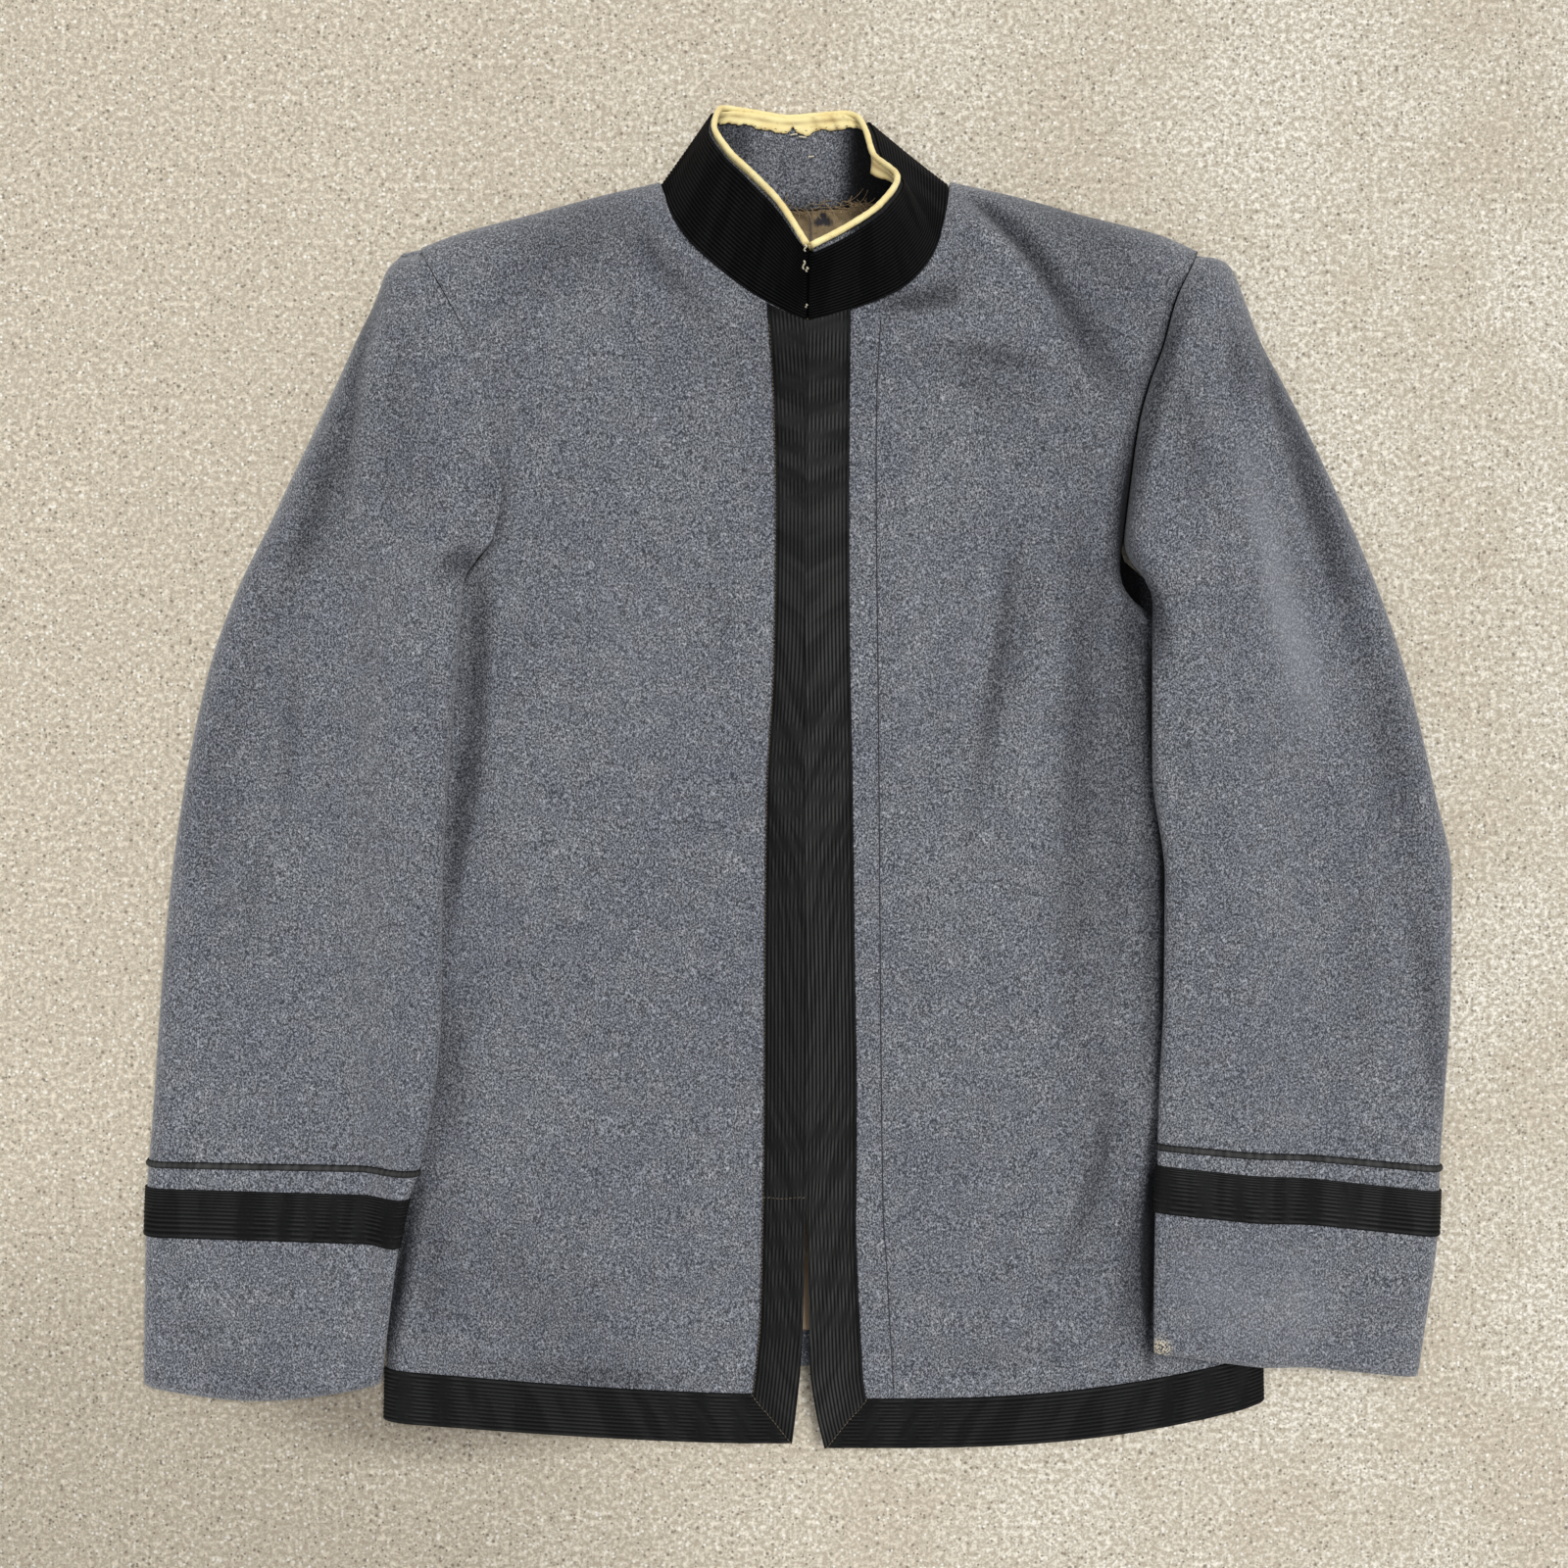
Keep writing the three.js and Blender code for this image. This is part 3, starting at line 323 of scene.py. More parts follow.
def solid(name, points, faces, flat, material):
    """A smooth mesh of points in mm. Each point's place on the flat cloth, in metres, is its UV."""
    mesh = bpy.data.meshes.new(name)
    mesh.from_pydata((points * 0.001).tolist(), [], faces)
    corners = np.zeros(len(mesh.loops), int)
    mesh.loops.foreach_get("vertex_index", corners)
    mesh.uv_layers.new(name="flat").data.foreach_set("uv", flat[corners].ravel())
    mesh.shade_smooth()
    mesh.materials.append(material)
    return put(name, mesh)


def cloth(name, points, low, high, material, normals=None, flip=False, cells=None, thin=0.45, marks=None):
    """A closed wall on a grid of points, in mm, between two distances along its normals.
    Its rims are thinned. On the flat cloth U runs across a row and V along the rows."""
    rows, cols = points.shape[:2]
    count = rows * cols
    if normals is None:
        normals = normals_of(points, flip)
    grid = np.arange(count).reshape(rows, cols)
    quads = np.stack([grid[:-1, :-1], grid[:-1, 1:], grid[1:, 1:], grid[1:, :-1]], -1).reshape(-1, 4)
    if cells is not None:
        quads = quads[cells.ravel()]
    if flip:
        quads = quads[:, ::-1]
    sides = np.concatenate([quads[:, [k, (k + 1) % 4]] for k in range(4)])
    rim = sides[~np.isin(sides[:, 0] * count + sides[:, 1], sides[:, 1] * count + sides[:, 0])]
    low, high = (np.broadcast_to(level, (rows, cols)).astype(float).ravel() for level in (low, high))
    edge = np.unique(rim)
    middle = (low[edge] + high[edge]) / 2
    for level in (low, high):
        level[edge] = middle + thin * (level[edge] - middle)
    walls = np.stack([rim[:, 0] + count, rim[:, 1] + count, rim[:, 1], rim[:, 0]], -1)
    faces = np.concatenate([quads, quads[:, ::-1] + count, walls])
    used = np.unique(faces)
    place = np.zeros(2 * count, int)
    place[used] = np.arange(len(used))
    shell = [points.reshape(-1, 3) + normals.reshape(-1, 3) * level[:, None] for level in (high, low)]
    across = np.cumsum(np.linalg.norm(np.diff(points, axis=1), axis=2), axis=1)
    u = np.concatenate([np.zeros((rows, 1)), across], 1)
    u -= u[:, cols // 2:cols // 2 + 1]
    step = np.linalg.norm(np.diff(points, axis=0), axis=2).mean(axis=1)
    v = np.concatenate([[0], np.cumsum(step)])[:, None].repeat(cols, 1)
    flat = np.tile(np.stack([u, v], -1).reshape(-1, 2) * 0.001, (2, 1))
    made = solid(name, np.concatenate(shell)[used], place[faces].tolist(), flat[used], material)
    for mark, values in (marks or {}).items():
        values = np.tile(np.broadcast_to(values, (rows, cols)).ravel(), 2)[used]
        layer = made.data.attributes.new(mark, "FLOAT", "POINT")
        layer.data.foreach_set("value", values.astype(np.float32))
    return made


def new_group(name, inputs, outputs):
    """A node group with vectors in and values out: the group, its nodes, its inputs and its last node."""
    made = bpy.data.node_groups.new(name, "ShaderNodeTree")
    for names, way, kind in ((inputs, "INPUT", "Vector"), (outputs, "OUTPUT", "Float")):
        for socket in names.split():
            made.interface.new_socket(socket, in_out=way, socket_type="NodeSocket" + kind)
    return made, Tree(made), made.nodes.new("NodeGroupInput").outputs, made.nodes.new("NodeGroupOutput")


# Mixed dark and pale fibres, their drift into patches, and the faint twill line of the cloth.
heather, tree, entry, leave = new_group(
    "heathered fibres", "Vector Flat", "Fibre Fleck Mottle Cloud Twill Height")
drawn = tree.placed(entry["Vector"], (1.2, 0.82, 1), 5)
fibre = tree.noise(drawn, 1050, 2, 0.6)
twill = tree.waves(tree.placed(entry["Flat"], turn=62), 210, 1.2, detail_scale=3)
tree.fill(leave, {
    "Fibre": tree.span(fibre, 0.38, 0.70),
    "Fleck": tree.span(tree.noise(drawn, 760, 1), 0.60, 0.70),
    "Mottle": tree.span(tree.noise(entry["Vector"], 70, 1), 0.3, 0.7),
    "Cloud": tree.span(tree.noise(entry["Vector"], 16, 3, 0.55), 0.34, 0.66),
    "Twill": twill,
    "Height": tree.node("ShaderNodeMath", {0: twill, 1: 0.35, 2: fibre}, operation="MULTIPLY_ADD")[0]})


def wool_material(name, dark, pale, blue, grey):
    material, tree, shader = new_material(name)
    part = tree.use(heather, dict(Vector=tree.coords("Object"), Flat=tree.coords("UV")))
    ground = tree.blend(part["Fibre"], dark, pale)
    ground = tree.blend(tree.times(part["Fleck"], 0.6), ground, srgb(196, 198, 204))
    ground = tree.blend(tree.times(part["Twill"], 0.14), ground, dark)
    drift = tree.blend(part["Mottle"], blue, grey)
    wide = tree.blend(part["Cloud"], (0.93, 0.93, 0.95, 1), (1.05, 1.05, 1.03, 1))
    ground = tree.blend(1.0, tree.blend(1.0, ground, drift, "MULTIPLY"), wide, "MULTIPLY")
    # The painted_shading mark paints light and shade into the cloth: below 0 painted shade, down to
    # near-black painted shadow below -1 in gaps and under edges, and above 0 a painted highlight toward the
    # pale fibres. Sheen fades out in the painted shade.
    painted_shading = tree.mark("painted_shading")
    for start, end, share, colour, how in (
            (0, -1, 0.72, (0.2, 0.2, 0.21, 1), "MULTIPLY"), (-1, -2, 0.9, srgb(14, 14, 17), "MIX"),
            (0, 1, 0.4, pale, "MIX")):
        ground = tree.blend(tree.span(painted_shading, start, end, 0, share), ground, colour, how)
    frayed = tree.times(tree.mark("worn"), tree.span(part["Fibre"], 0.2, 0.45))
    tree.fill(shader, {
        "Base Color": tree.blend(frayed, ground, srgb(226, 212, 182)), "Roughness": 0.92,
        "Sheen Weight": tree.span(painted_shading, 0, -1.3, 0.35, 0), "Sheen Roughness": 0.55,
        "Specular IOR Level": 0.25, "Normal": tree.bump(part["Height"], 0.0003, 0.6)})
    return material


wool = wool_material(
    "heathered wool", srgb(48, 51, 57), srgb(153, 155, 161), (0.95, 0.955, 0.98, 1), (1.05, 1.045, 1.03, 1))


def back_z(x, y, hem):
    arm = np.where(x < CENTRE, ARM_FOOT["right"], ARM_FOOT["left"])
    z = 1 + 1.5 * (1 - smooth((y - hem - HEM_BRAID) / 16))
    turned = (1 - quarter(from_side(x, y) / SIDE_TURN)) * (1 - smooth((y - arm + 12) / 16))
    z = z + (seam_z(x, y) - z) * turned
    neck = np.maximum(0, np.minimum(x - NECK_RIGHT, NECK_LEFT - x))
    d = np.hypot(from_shoulder(x, y), neck)
    return z + (SEAM_Z - z) * (1 - quarter(d / SHOULDER_TURN))


def back_grid(f, j):
    """The back's cloth at fractions f across and row numbers j up from the hem."""
    def bowed(right, middle, left):
        return mixed(right, left, f) + (middle - mixed(right, left, 0.5)) * np.sin(np.pi * f) ** 1.4

    arm, last = 8, len(BACK_ROWS) - 1
    r, c, l = (hermite(j, np.arange(last + 1), [row[name] for row in BACK_ROWS]) for name in "rcl")
    xr, xl = (np.where(j < arm, curve(SIDE, "y", y, side), curve(BACK_ARM, "y", y, side))
              for side, y in (("right", r), ("left", l)))
    x, y = mixed(xr, xl, f), bowed(r, c, l)
    off = np.clip(np.abs(x - NECK_MIDDLE) / NECK_HALF, 0, 1)
    neck = mixed(NAPE, NECK_SIDE, off ** 1.7)
    edge = np.where((x > NECK_RIGHT) & (x < NECK_LEFT), neck, curve(SHOULDER, "x", x, "y"))
    short = np.interp(j, [last - 2, last - 1, last], [14, 3.4, 0])
    y = mixed(y, edge - short, smooth((j - last + 4) / 2))
    return np.stack([x, y, back_z(x, y, bowed(*BACK_ROWS[0].values()))], -1)


def spread(low, high, count, ends=0.0):
    t = np.linspace(0, 1, count)
    return mixed(low, high, mixed(t, (1 - np.cos(np.pi * t)) / 2, ends))


def spreads(*stages):
    """Even steps in stages: each is where it starts and its count; the last is where it all ends."""
    ends = [stage[0] for stage in stages[1:]]
    runs = [spread(low, high, count)[:-1] for (low, count), high in zip(stages[:-1], ends)]
    return np.append(np.concatenate(runs), ends[-1])


def finish(piece, nodes):
    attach(piece, "root")
    if nodes:
        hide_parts(*nodes)


f, j = np.meshgrid(spread(0, 1, 96, 0.8), spread(0, 16, 150, 0.2))
BACK_FOLDS = strokes(
    (-120, 235, -95, 180, -88, 90, 26, 1.1), (118, 232, 100, 170, 96, 80, 24, 1.2),
    (6, 300, 2, 210, 5, 110, 15, 0.8), (-60, -60, -30, -90, 40, -75, 30, 0.9),
    (-150, -150, -120, -200, -112, -270, 22, 0.8), (150, -130, 132, -190, 128, -260, 24, 0.8))
points = back_grid(f, j)
points[..., 2] += folds(points[..., 0], points[..., 1], BACK_FOLDS)
back_normals = normals_of(points)
# Painted shadow in the armpits, on the back and on the under sleeves.
ARMPIT_SHADE = strokes(
    (183, 134, 186, 112, 200, 90, 16, -2.4), (-168, 138, -178, 122, -190, 108, 12, -1.1))
back = cloth("back_panel_cloth", points, -WOOL / 2, WOOL / 2, wool, normals=back_normals,
             marks={"painted_shading": np.clip(folds(points[..., 0], points[..., 1], ARMPIT_SHADE), -2, 0)})
finish(back, ["back_panel"])


# ---- Hem facing, lining and hem braid of the back ----
# Inside the back a strip of plain wool finishes the hem, and a worn tan cotton lining covers the
# rest; both show in the slit between the fronts. The hem's outside is bound with ribbed braid.
facing = wool_material(
    "plain facing wool", srgb(52, 54, 60), srgb(116, 118, 124), (0.96, 0.98, 1.04, 1), (1, 1, 1, 1))

lining, tree, shader = new_material("worn tan cotton")
where = tree.coords("Object")
stain = tree.span(tree.noise(where, 38, 4, 0.6), 0.35, 0.68)
thread = tree.waves(tree.placed(tree.coords("UV"), turn=38), 420, 0.6)
lower_lining_tone = tree.blend(stain, srgb(218, 190, 160), srgb(198, 164, 130))
neck_dirt_and_shade = tree.blend(stain, srgb(166, 144, 108), srgb(104, 86, 60))
# Darker towards the neck: partly the lining's dirt and partly painted shade round the collar.
tone = tree.blend(tree.span(tree.axis(where, "Y"), 0.18, 0.30), lower_lining_tone, neck_dirt_and_shade)
tone = tree.blend(tree.mark("torn"), tone, srgb(34, 38, 48))
tone = tree.blend(tree.span(thread, 0.1, 0.9, 0, 0.3), tone, srgb(86, 64, 44))
tree.fill(shader, {"Base Color": tone, "Roughness": 0.85, "Normal": tree.bump(thread, 0.0002, 0.7)})

LAYER = WOOL / 2 + GAP
f, j = np.meshgrid(spread(0.1, 0.9, 60), spread(0, 2, 10))
strip = cloth("back_hem_facing_strip", back_grid(f, j), LAYER, LAYER + LINING, facing)
finish(strip, ["back_hem_facing"])

f, j = np.meshgrid(
    spreads((0.1, 36), (0.47, 46), (0.56, 34), (0.9,)), spreads((2.05, 90), (14, 44), (15.97,)))
points = back_grid(f, j)
LINING_FOLDS = strokes(
    (6, 322, 7, 260, 6, 180, 2.2, 0.9), (10, 322, 11, 260, 10, 180, 1.6, -0.6),
    (26, 318, 22, 309, 12, 304, 3, 0.8), (-20, 318, -12, 309, -4, 305, 3.5, 0.6))
x, y = points[..., 0], points[..., 1]
points[..., 2] += folds(x, y, LINING_FOLDS)
dx, dy = x - 15, y - 318.5       # from the torn place
rip = np.hypot(dx / 5.4, dy / 4.2) + 0.22 * np.sin(3 * np.arctan2(dy, dx)) + 0.1 * np.sin(x * 3)
pleat = 0.8 * bell(x - 7.6, 0.9) * (y > 285)
torn = np.maximum(np.clip(2.4 * (1.1 - rip), 0, 1), pleat)
made = cloth("back_lining_cotton", points, LAYER, LAYER + LINING, lining, marks={"torn": torn})
finish(made, ["back_lining"])


# The fine cross threads of ribbed braid, its crushed patches and its dust.
braid_threads, tree, entry, leave = new_group("ribbed braid threads", "Flat", "Thread Crush Dust")
tree.fill(leave, {
    "Thread": tree.waves(entry["Flat"], 480, 2.5, "Y"),
    "Crush": tree.span(tree.noise(tree.placed(entry["Flat"], (18, 62, 1)), 1), 0.36, 0.62),
    "Dust": tree.span(tree.noise(entry["Flat"], 900), 0.6, 0.75)})


def braid_material(name, low, crest, gloss=0.12):
    material, tree, shader = new_material(name)
    part = tree.use(braid_threads, dict(Flat=tree.coords("UV")))
    # The rib mark paints the rib crests lighter as painted highlight, evened out where the ribs lie crushed;
    # this share is not wear.
    worn = tree.times(tree.mark("rib"), tree.span(part["Crush"], 0, 1, 0.65, 1))
    tone = tree.blend(tree.times(part["Dust"], 0.1), tree.blend(worn, low, crest), srgb(104, 100, 92))
    tree.fill(shader, {
        "Base Color": tone, "Roughness": tree.span(part["Crush"], 0, 1, 0.78, 0.6),
        "Specular IOR Level": gloss, "Normal": tree.bump(part["Thread"], 0.00015, 0.5)})
    return material


braid = braid_material("black ribbed braid", srgb(3, 3, 4), srgb(86, 86, 84))


def across_columns(points, width):
    return np.broadcast_to(np.linspace(0, width, points.shape[1]), points.shape[:2])


def ribbed(name, points, across, material, normals=None, flip=False, cells=None, depth=0.5,
           crush=1.0, thin=0.6, low=None, run=None, shine=1.0, peak=3.5):
    """A ribbed braid on a grid: rows follow its length, across is each point's distance over it in mm.
    Along its run the ribs stand up in some short stretches and lie crushed in others."""
    if normals is None:
        normals = normals_of(points, flip)
    crest = np.abs(np.sin(np.pi * across / RIB))
    if run is None:
        step = np.linalg.norm(np.diff(points[:, points.shape[1] // 2], axis=0), axis=1)
        run = np.concatenate([[0], np.cumsum(step)])[:, None]
    rib = np.floor(across / RIB)
    jitter = 0.45 * np.sin(rib * 2.4) + 0.3 * np.sin(rib * 5.1 + 1)
    flat = crush * smooth((np.sin(run / 2.7 + 1.5 * np.sin(run / 14) + jitter) + 0.15) / 0.7)
    flat = flat * smooth(0.75 + 0.9 * np.sin(run / 37 + 1))
    high = LAYER + BRAID - 0.1 - depth * (1 - crest) * (1 - 0.6 * flat) - 0.12 * flat
    low = LAYER if low is None else low
    # The rib mark is a painted highlight on the rib crests, scaled by shine.
    return cloth(name, points, low, high, material, normals=normals, flip=flip, cells=cells, thin=thin,
                 marks={"rib": shine * mixed(crest ** peak, 0.28, 0.85 * flat)})


RIB = 2.1         # from rib to rib
RIBS = 13         # across the hem braid
f, j = np.meshgrid(spread(0.0006, 0.9994, 170), spread(0.02, 3, RIBS * 4 + 1))
points = back_grid(f, j).transpose(1, 0, 2)
under = normals_of(points)
under = under * np.where(under[..., 2:] < 0, 1, -1)
made = ribbed("hem_braid_back_ribs", points, across_columns(points, RIB * RIBS), braid,
              normals=under, shine=0.34)
finish(made, ["hem_braid_back"])


# ---- Fronts ----
# Two fronts of the same wool meet edge to edge at the centre under a wide black band each, the
# wearer's left a little the higher. They roll over the shoulders and sides to the back's seams.
EDGE = table(
    "y right left band_right band_left",
    (-379, -3.5, 17, 26, 29), (-355, -0.5, 11.5, 26, 29), (-330, 2, 8.2, 25.5, 29),
    (-305, 3.3, 7.8, 24.5, 28), (-254, 4.4, 6.6, 24.3, 27), (-235, 4.8, 5.8, 24.3, 28),
    (-178, 5.1, 5.9, 24, 28), (-104, 4.8, 5.6, 23.3, 27), (-5, 4.4, 5.2, 21.6, 26),
    (68, 4.4, 5.2, 17.6, 24.4), (140, 4.6, 5.4, 16.8, 23.5), (211, 5, 5.8, 18.5, 23), (248, 5, 5.8, 21, 23.5))
NECK = table(
    "rx ry lx ly",
    (-16.4, 254.4, 28.4, 251.3), (-16.4, 257, 28.4, 253.9), (-42.3, 277.9, 56.2, 266.4),
    (-60.2, 296.2, 72.8, 285), (-70, 314.9, 81.2, 308.6), (-77, 335.5, 86, 335.5))
FRONT_ROWS = table(
    "n ri ro li lo rb lb",
    (0, -374.3, -363, -377, -352.3, 1.4, 2.6), (1, -360, -348, -362.8, -338, 1.4, 2.6),
    (2, -345.8, -333, -348.6, -323.7, 1.4, 2.6), (3, -320, -308, -320, -300, 1.3, 2),
    (4, -276, -266, -276, -260, 1.2, 1.5), (5, -222, -214, -222, -210, 1, 1),
    (6, -168, -162, -168, -160, 1, 1), (7, -56, -56, -56, -60, 1, 1), (8, -5, -8, -5, -18, 1, 1),
    (9, 40, 36, 40, 14, 1, 1), (10, 82, 76, 80, 40, 1, 1), (11, 104, 92, 104, 62, 1, 1),
    (12, 126, 112, 126, 92, 1, 1), (13, 150, 135, 150, 126, 1, 1), (14, 180, 160, 180, 160, 1, 1),
    (15, 214, 190, 214, 192, 1, 1), (16, 244.8, 212, 244.8, 216, 1, 1), (17, 248, 218, 248, 221, 1, 1),
    (18, 251, 240, 251, 243, 1, 1), (19, 254, 262, 254, 263, 1, 1), (20, 257, 282, 257, 282, 1, 1),
    (21, 260, 298, 260, 296, 1, 1))
ARM_ROW, BAND_ROW, NECK_ROW, TOP_ROW = 10, 16, 17, 21
ARMHOLE = {
    "right": table(
        "y x dip",
        (76, -211, 0), (92, -204, 1.5), (106, -193, 2.5), (118, -181, 3), (135, -168.5, 2.6),
        (160, -163.5, 2), (185, -167, 1.6), (216, -173, 1), (240, -180, 1), (265, -193, 1), (285, -204.5, 1),
        (298, -211, 0)),
    "left": table(
        "y x dip",
        (40, 240, 0), (58, 236, 2), (74, 226, 5), (84, 211, 7), (92, 200, 10), (100, 189.5, 12),
        (110, 183.5, 14), (120, 182, 14), (134, 183, 13), (166, 186, 10), (196, 189.5, 7), (219, 195, 5),
        (240, 202.5, 4), (264, 209, 3), (288, 221, 1), (296, 225, 0))}


def front_z(x, y):
    z = crown(x, y)
    roll = mixed(58, 34, smooth((np.abs(x - CENTRE) - 75) / 70))
    for side, mine in (("right", x < CENTRE), ("left", x >= CENTRE)):
        rows = ARMHOLE[side]
        off = np.abs(curve(rows, "y", y, "x") - x)
        dip = curve(rows, "y", y, "dip") * np.clip(1 - off / 14, 0, 1) ** 2.4
        z = np.where(mine & (y > rows[0]["y"]), z - dip, z)
        low = 1 - smooth((y - rows[0]["y"]) / 20)
        turned = 1 - quarter(from_side(x, y) / SIDE_TURN)
        z = np.where(mine, z - (z - seam_z(x, y)) * turned * low, z)
    return SEAM_Z + (z - SEAM_Z) * quarter(from_shoulder(x, y) / roll)


def front_height(side, x, y):
    """The folded front cloth's height; the wearer's left lies a little the higher at the edge."""
    z = front_z(x, y)
    if side == "left":
        step = 0.8 * (1 - smooth((np.abs(x - CENTRE) - 4) / 40))
        z = z + step * smooth((y + 270) / 60) * (1 - smooth((y - 200) / 40))
    inner = smooth(from_side(x, y) / 30) * smooth(from_shoulder(x, y) / 20)
    return z + FOLD * folds(x, y, FRONT_FOLDS[side]) * inner


def band_at(side, y):
    """Where a front's edge lies, and how wide its band is."""
    return curve(EDGE, "y", y, side), curve(EDGE, "y", y, "band_" + side)


def front_points(side, c, j):
    """c: 0 to 1 from the front edge over the band, 1 to 2 from there to the side. j: row from the hem."""
    key, sign = side[0], SIGN[side]
    yi = curve(FRONT_ROWS, "n", np.minimum(j, NECK_ROW), key + "i")
    yo = curve(FRONT_ROWS, "n", j, key + "o")
    bend = curve(FRONT_ROWS, "n", j, key + "b")
    xe, band = band_at(side, yi)
    knots = []
    for n in (BAND_ROW - 2, BAND_ROW - 1):
        y = FRONT_ROWS[n][key + "i"]
        edge, width = band_at(side, y)
        knots.append(dict(n=n, x=edge + sign * width, y=y))
    knots += [dict(n=BAND_ROW + k, x=row[key + "x"], y=row[key + "y"]) for k, row in enumerate(NECK)]
    low = j <= BAND_ROW - 1
    sx = np.where(low, xe + sign * band, curve(knots, "n", j, "x"))
    sy = np.where(low, yi, curve(knots, "n", j, "y"))
    xo = np.where(j < ARM_ROW, curve(SIDE, "y", yo, side), curve(ARMHOLE[side], "y", yo, "x"))
    b = np.clip(c, -0.06, 1)
    over = smooth((j - (BAND_ROW - 1)) / 1.5)
    past = np.maximum(0, j - NECK_ROW)
    inner_x = np.where(past > 0, sx - sign * (1 - b) * 20, mixed(xe, sx, b))
    inner_y = np.where(past > 0, sy - (1 - b) * 9, mixed(yi, sy, b)) - over * np.sin(np.pi * b)
    f = np.clip(c - 1, 0, 1)
    x = np.where(c <= 1, inner_x, mixed(sx, xo, f))
    y = np.where(c <= 1, inner_y, mixed(sy, yo, f ** bend))
    straight = np.interp(x, [-211, NECK_RIGHT, NECK_LEFT, 225], [298, 335.5, 335.5, 296])
    swell = np.where(c <= 1, 0, curve(SHOULDER, "x", x, "y") - straight)
    y = y + swell * (past / (TOP_ROW - NECK_ROW)) ** 1.5
    z = front_height(side, x, y) + 0.4 * smooth(j - TOP_ROW + 1)
    z = z + np.where(j < ARM_ROW, 0.3 * bell(from_side(x, y), 2), 0)
    return np.stack([x, y, z], -1)


def toward(normals, target, share):
    share = np.clip(share, 0, 1)[..., None]
    n = normals * (1 - share) + np.asarray(target) * share
    return n / np.linalg.norm(n, axis=2, keepdims=True)


def front_normals(side, points, c, j, flip):
    sign, up = SIGN[side], (0, 0, 1)
    n = normals_of(points, flip)
    rim = bell((2 - c) * 210, 2.5)
    n = toward(n, (sign, 0, 0), rim * (j < ARM_ROW))
    n = toward(n, up, rim * (j >= ARM_ROW))
    n = toward(n, up, bell((c - 1) * 200, 2) * (j > NECK_ROW) * (c >= 1))
    top = bell(from_shoulder(points[..., 0], points[..., 1]), 2)
    return toward(n, (sign * 0.27, 0.96, 0), top * (j > NECK_ROW))


# Painted light and shade, as shares: above 0 a painted highlight, below 0 painted shade, and below -1
# near-black painted shadow in gaps.
FRONT_PAINTED_SHADING = {
    "left": strokes(
        (40, 250, 64, 259, 90, 262, 7, -0.95), (90, 312, 92, 284, 78, 262, 10, -0.4),
        (97, 322, 122, 296, 146, 262, 7, -0.9), (88, 246, 110, 222, 134, 204, 18, -0.3),
        (76, 240, 108, 232, 142, 228, 6, -0.45), (60, 238, 84, 224, 110, 206, 7, -0.3),
        (140, 262, 160, 238, 184, 204, 12, -0.5), (110, 330, 160, 300, 196, 240, 34, -0.55),
        (217, 284, 195, 214, 184, 146, 7, -0.7), (190, 196, 182, 140, 186, 104, 7, -1.9),
        (80, 204, 130, 194, 178, 172, 34, -0.2), (188, 106, 198, 62, 201, 0, 13, -1.5),
        (200, 40, 203, -40, 201, -190, 11, -1.0), (198, 60, 206.5, -50, 203, -200, 4, -1.6),
        (201.5, -196, 198.5, -260, 198.5, -334, 4.6, -2.4), (196, -226, 192, -270, 184, -326, 12, -0.8),
        (165, 200, 168, 20, 160, -290, 30, -0.4), (150, 150, 156, 90, 152, -30, 10, -0.3),
        (120, 146, 112, 66, 90, -66, 7, -0.6), (134, 120, 128, 80, 118, 40, 6, -0.3),
        (150, -40, 156, -120, 148, -200, 12, -0.1), (177, -150, 166, -230, 140, -280, 8, -0.4),
        (138, 96, 132, 30, 122, -50, 7, 0.3), (104, 130, 100, 90, 94, 30, 7, 0.3),
        (70, 170, 66, 80, 60, -40, 10, 0.15), (110, -120, 104, -200, 96, -290, 20, 0.1),
        (60, -310, 110, -326, 180, -316, 12, -0.35)),
    "right": strokes(
        (-34, 248, -56, 260, -84, 308, 12, -0.4), (-30, 236, -34, 228, -40, 222, 9, -0.3),
        (-84, 316, -120, 296, -176, 256, 34, -0.5), (-164, 168, -168, 140, -176, 124, 6, -0.7),
        (-172, 128, -178, 60, -184, -40, 9, -0.8), (-186, -110, -190, -160, -194, -212, 10, -0.45),
        (-183, 20, -189, -30, -195, -100, 6, -0.9), (-196, -106, -200, -160, -206, -230, 8, -0.35),
        (-212, -226, -224, -284, -234, -350, 5, -1.8), (-206, -200, -206, -280, -206, -340, 14, -0.4),
        (-168, -98, -150, -106, -124, -122, 8, -0.4), (-35, 110, -38, 90, -36, 66, 5, -0.35),
        (-60, -34, -54, -50, -38, -70, 6, -0.3), (-180, -220, -150, -296, -60, -322, 36, -0.38),
        (-160, 240, -164, 190, -160, 130, 10, -0.3), (-110, 130, -100, 80, -96, 30, 16, 0.2),
        (-74, 120, -72, 60, -76, -20, 12, 0.1), (-200, -330, -120, -336, -30, -338, 7, -0.5))}

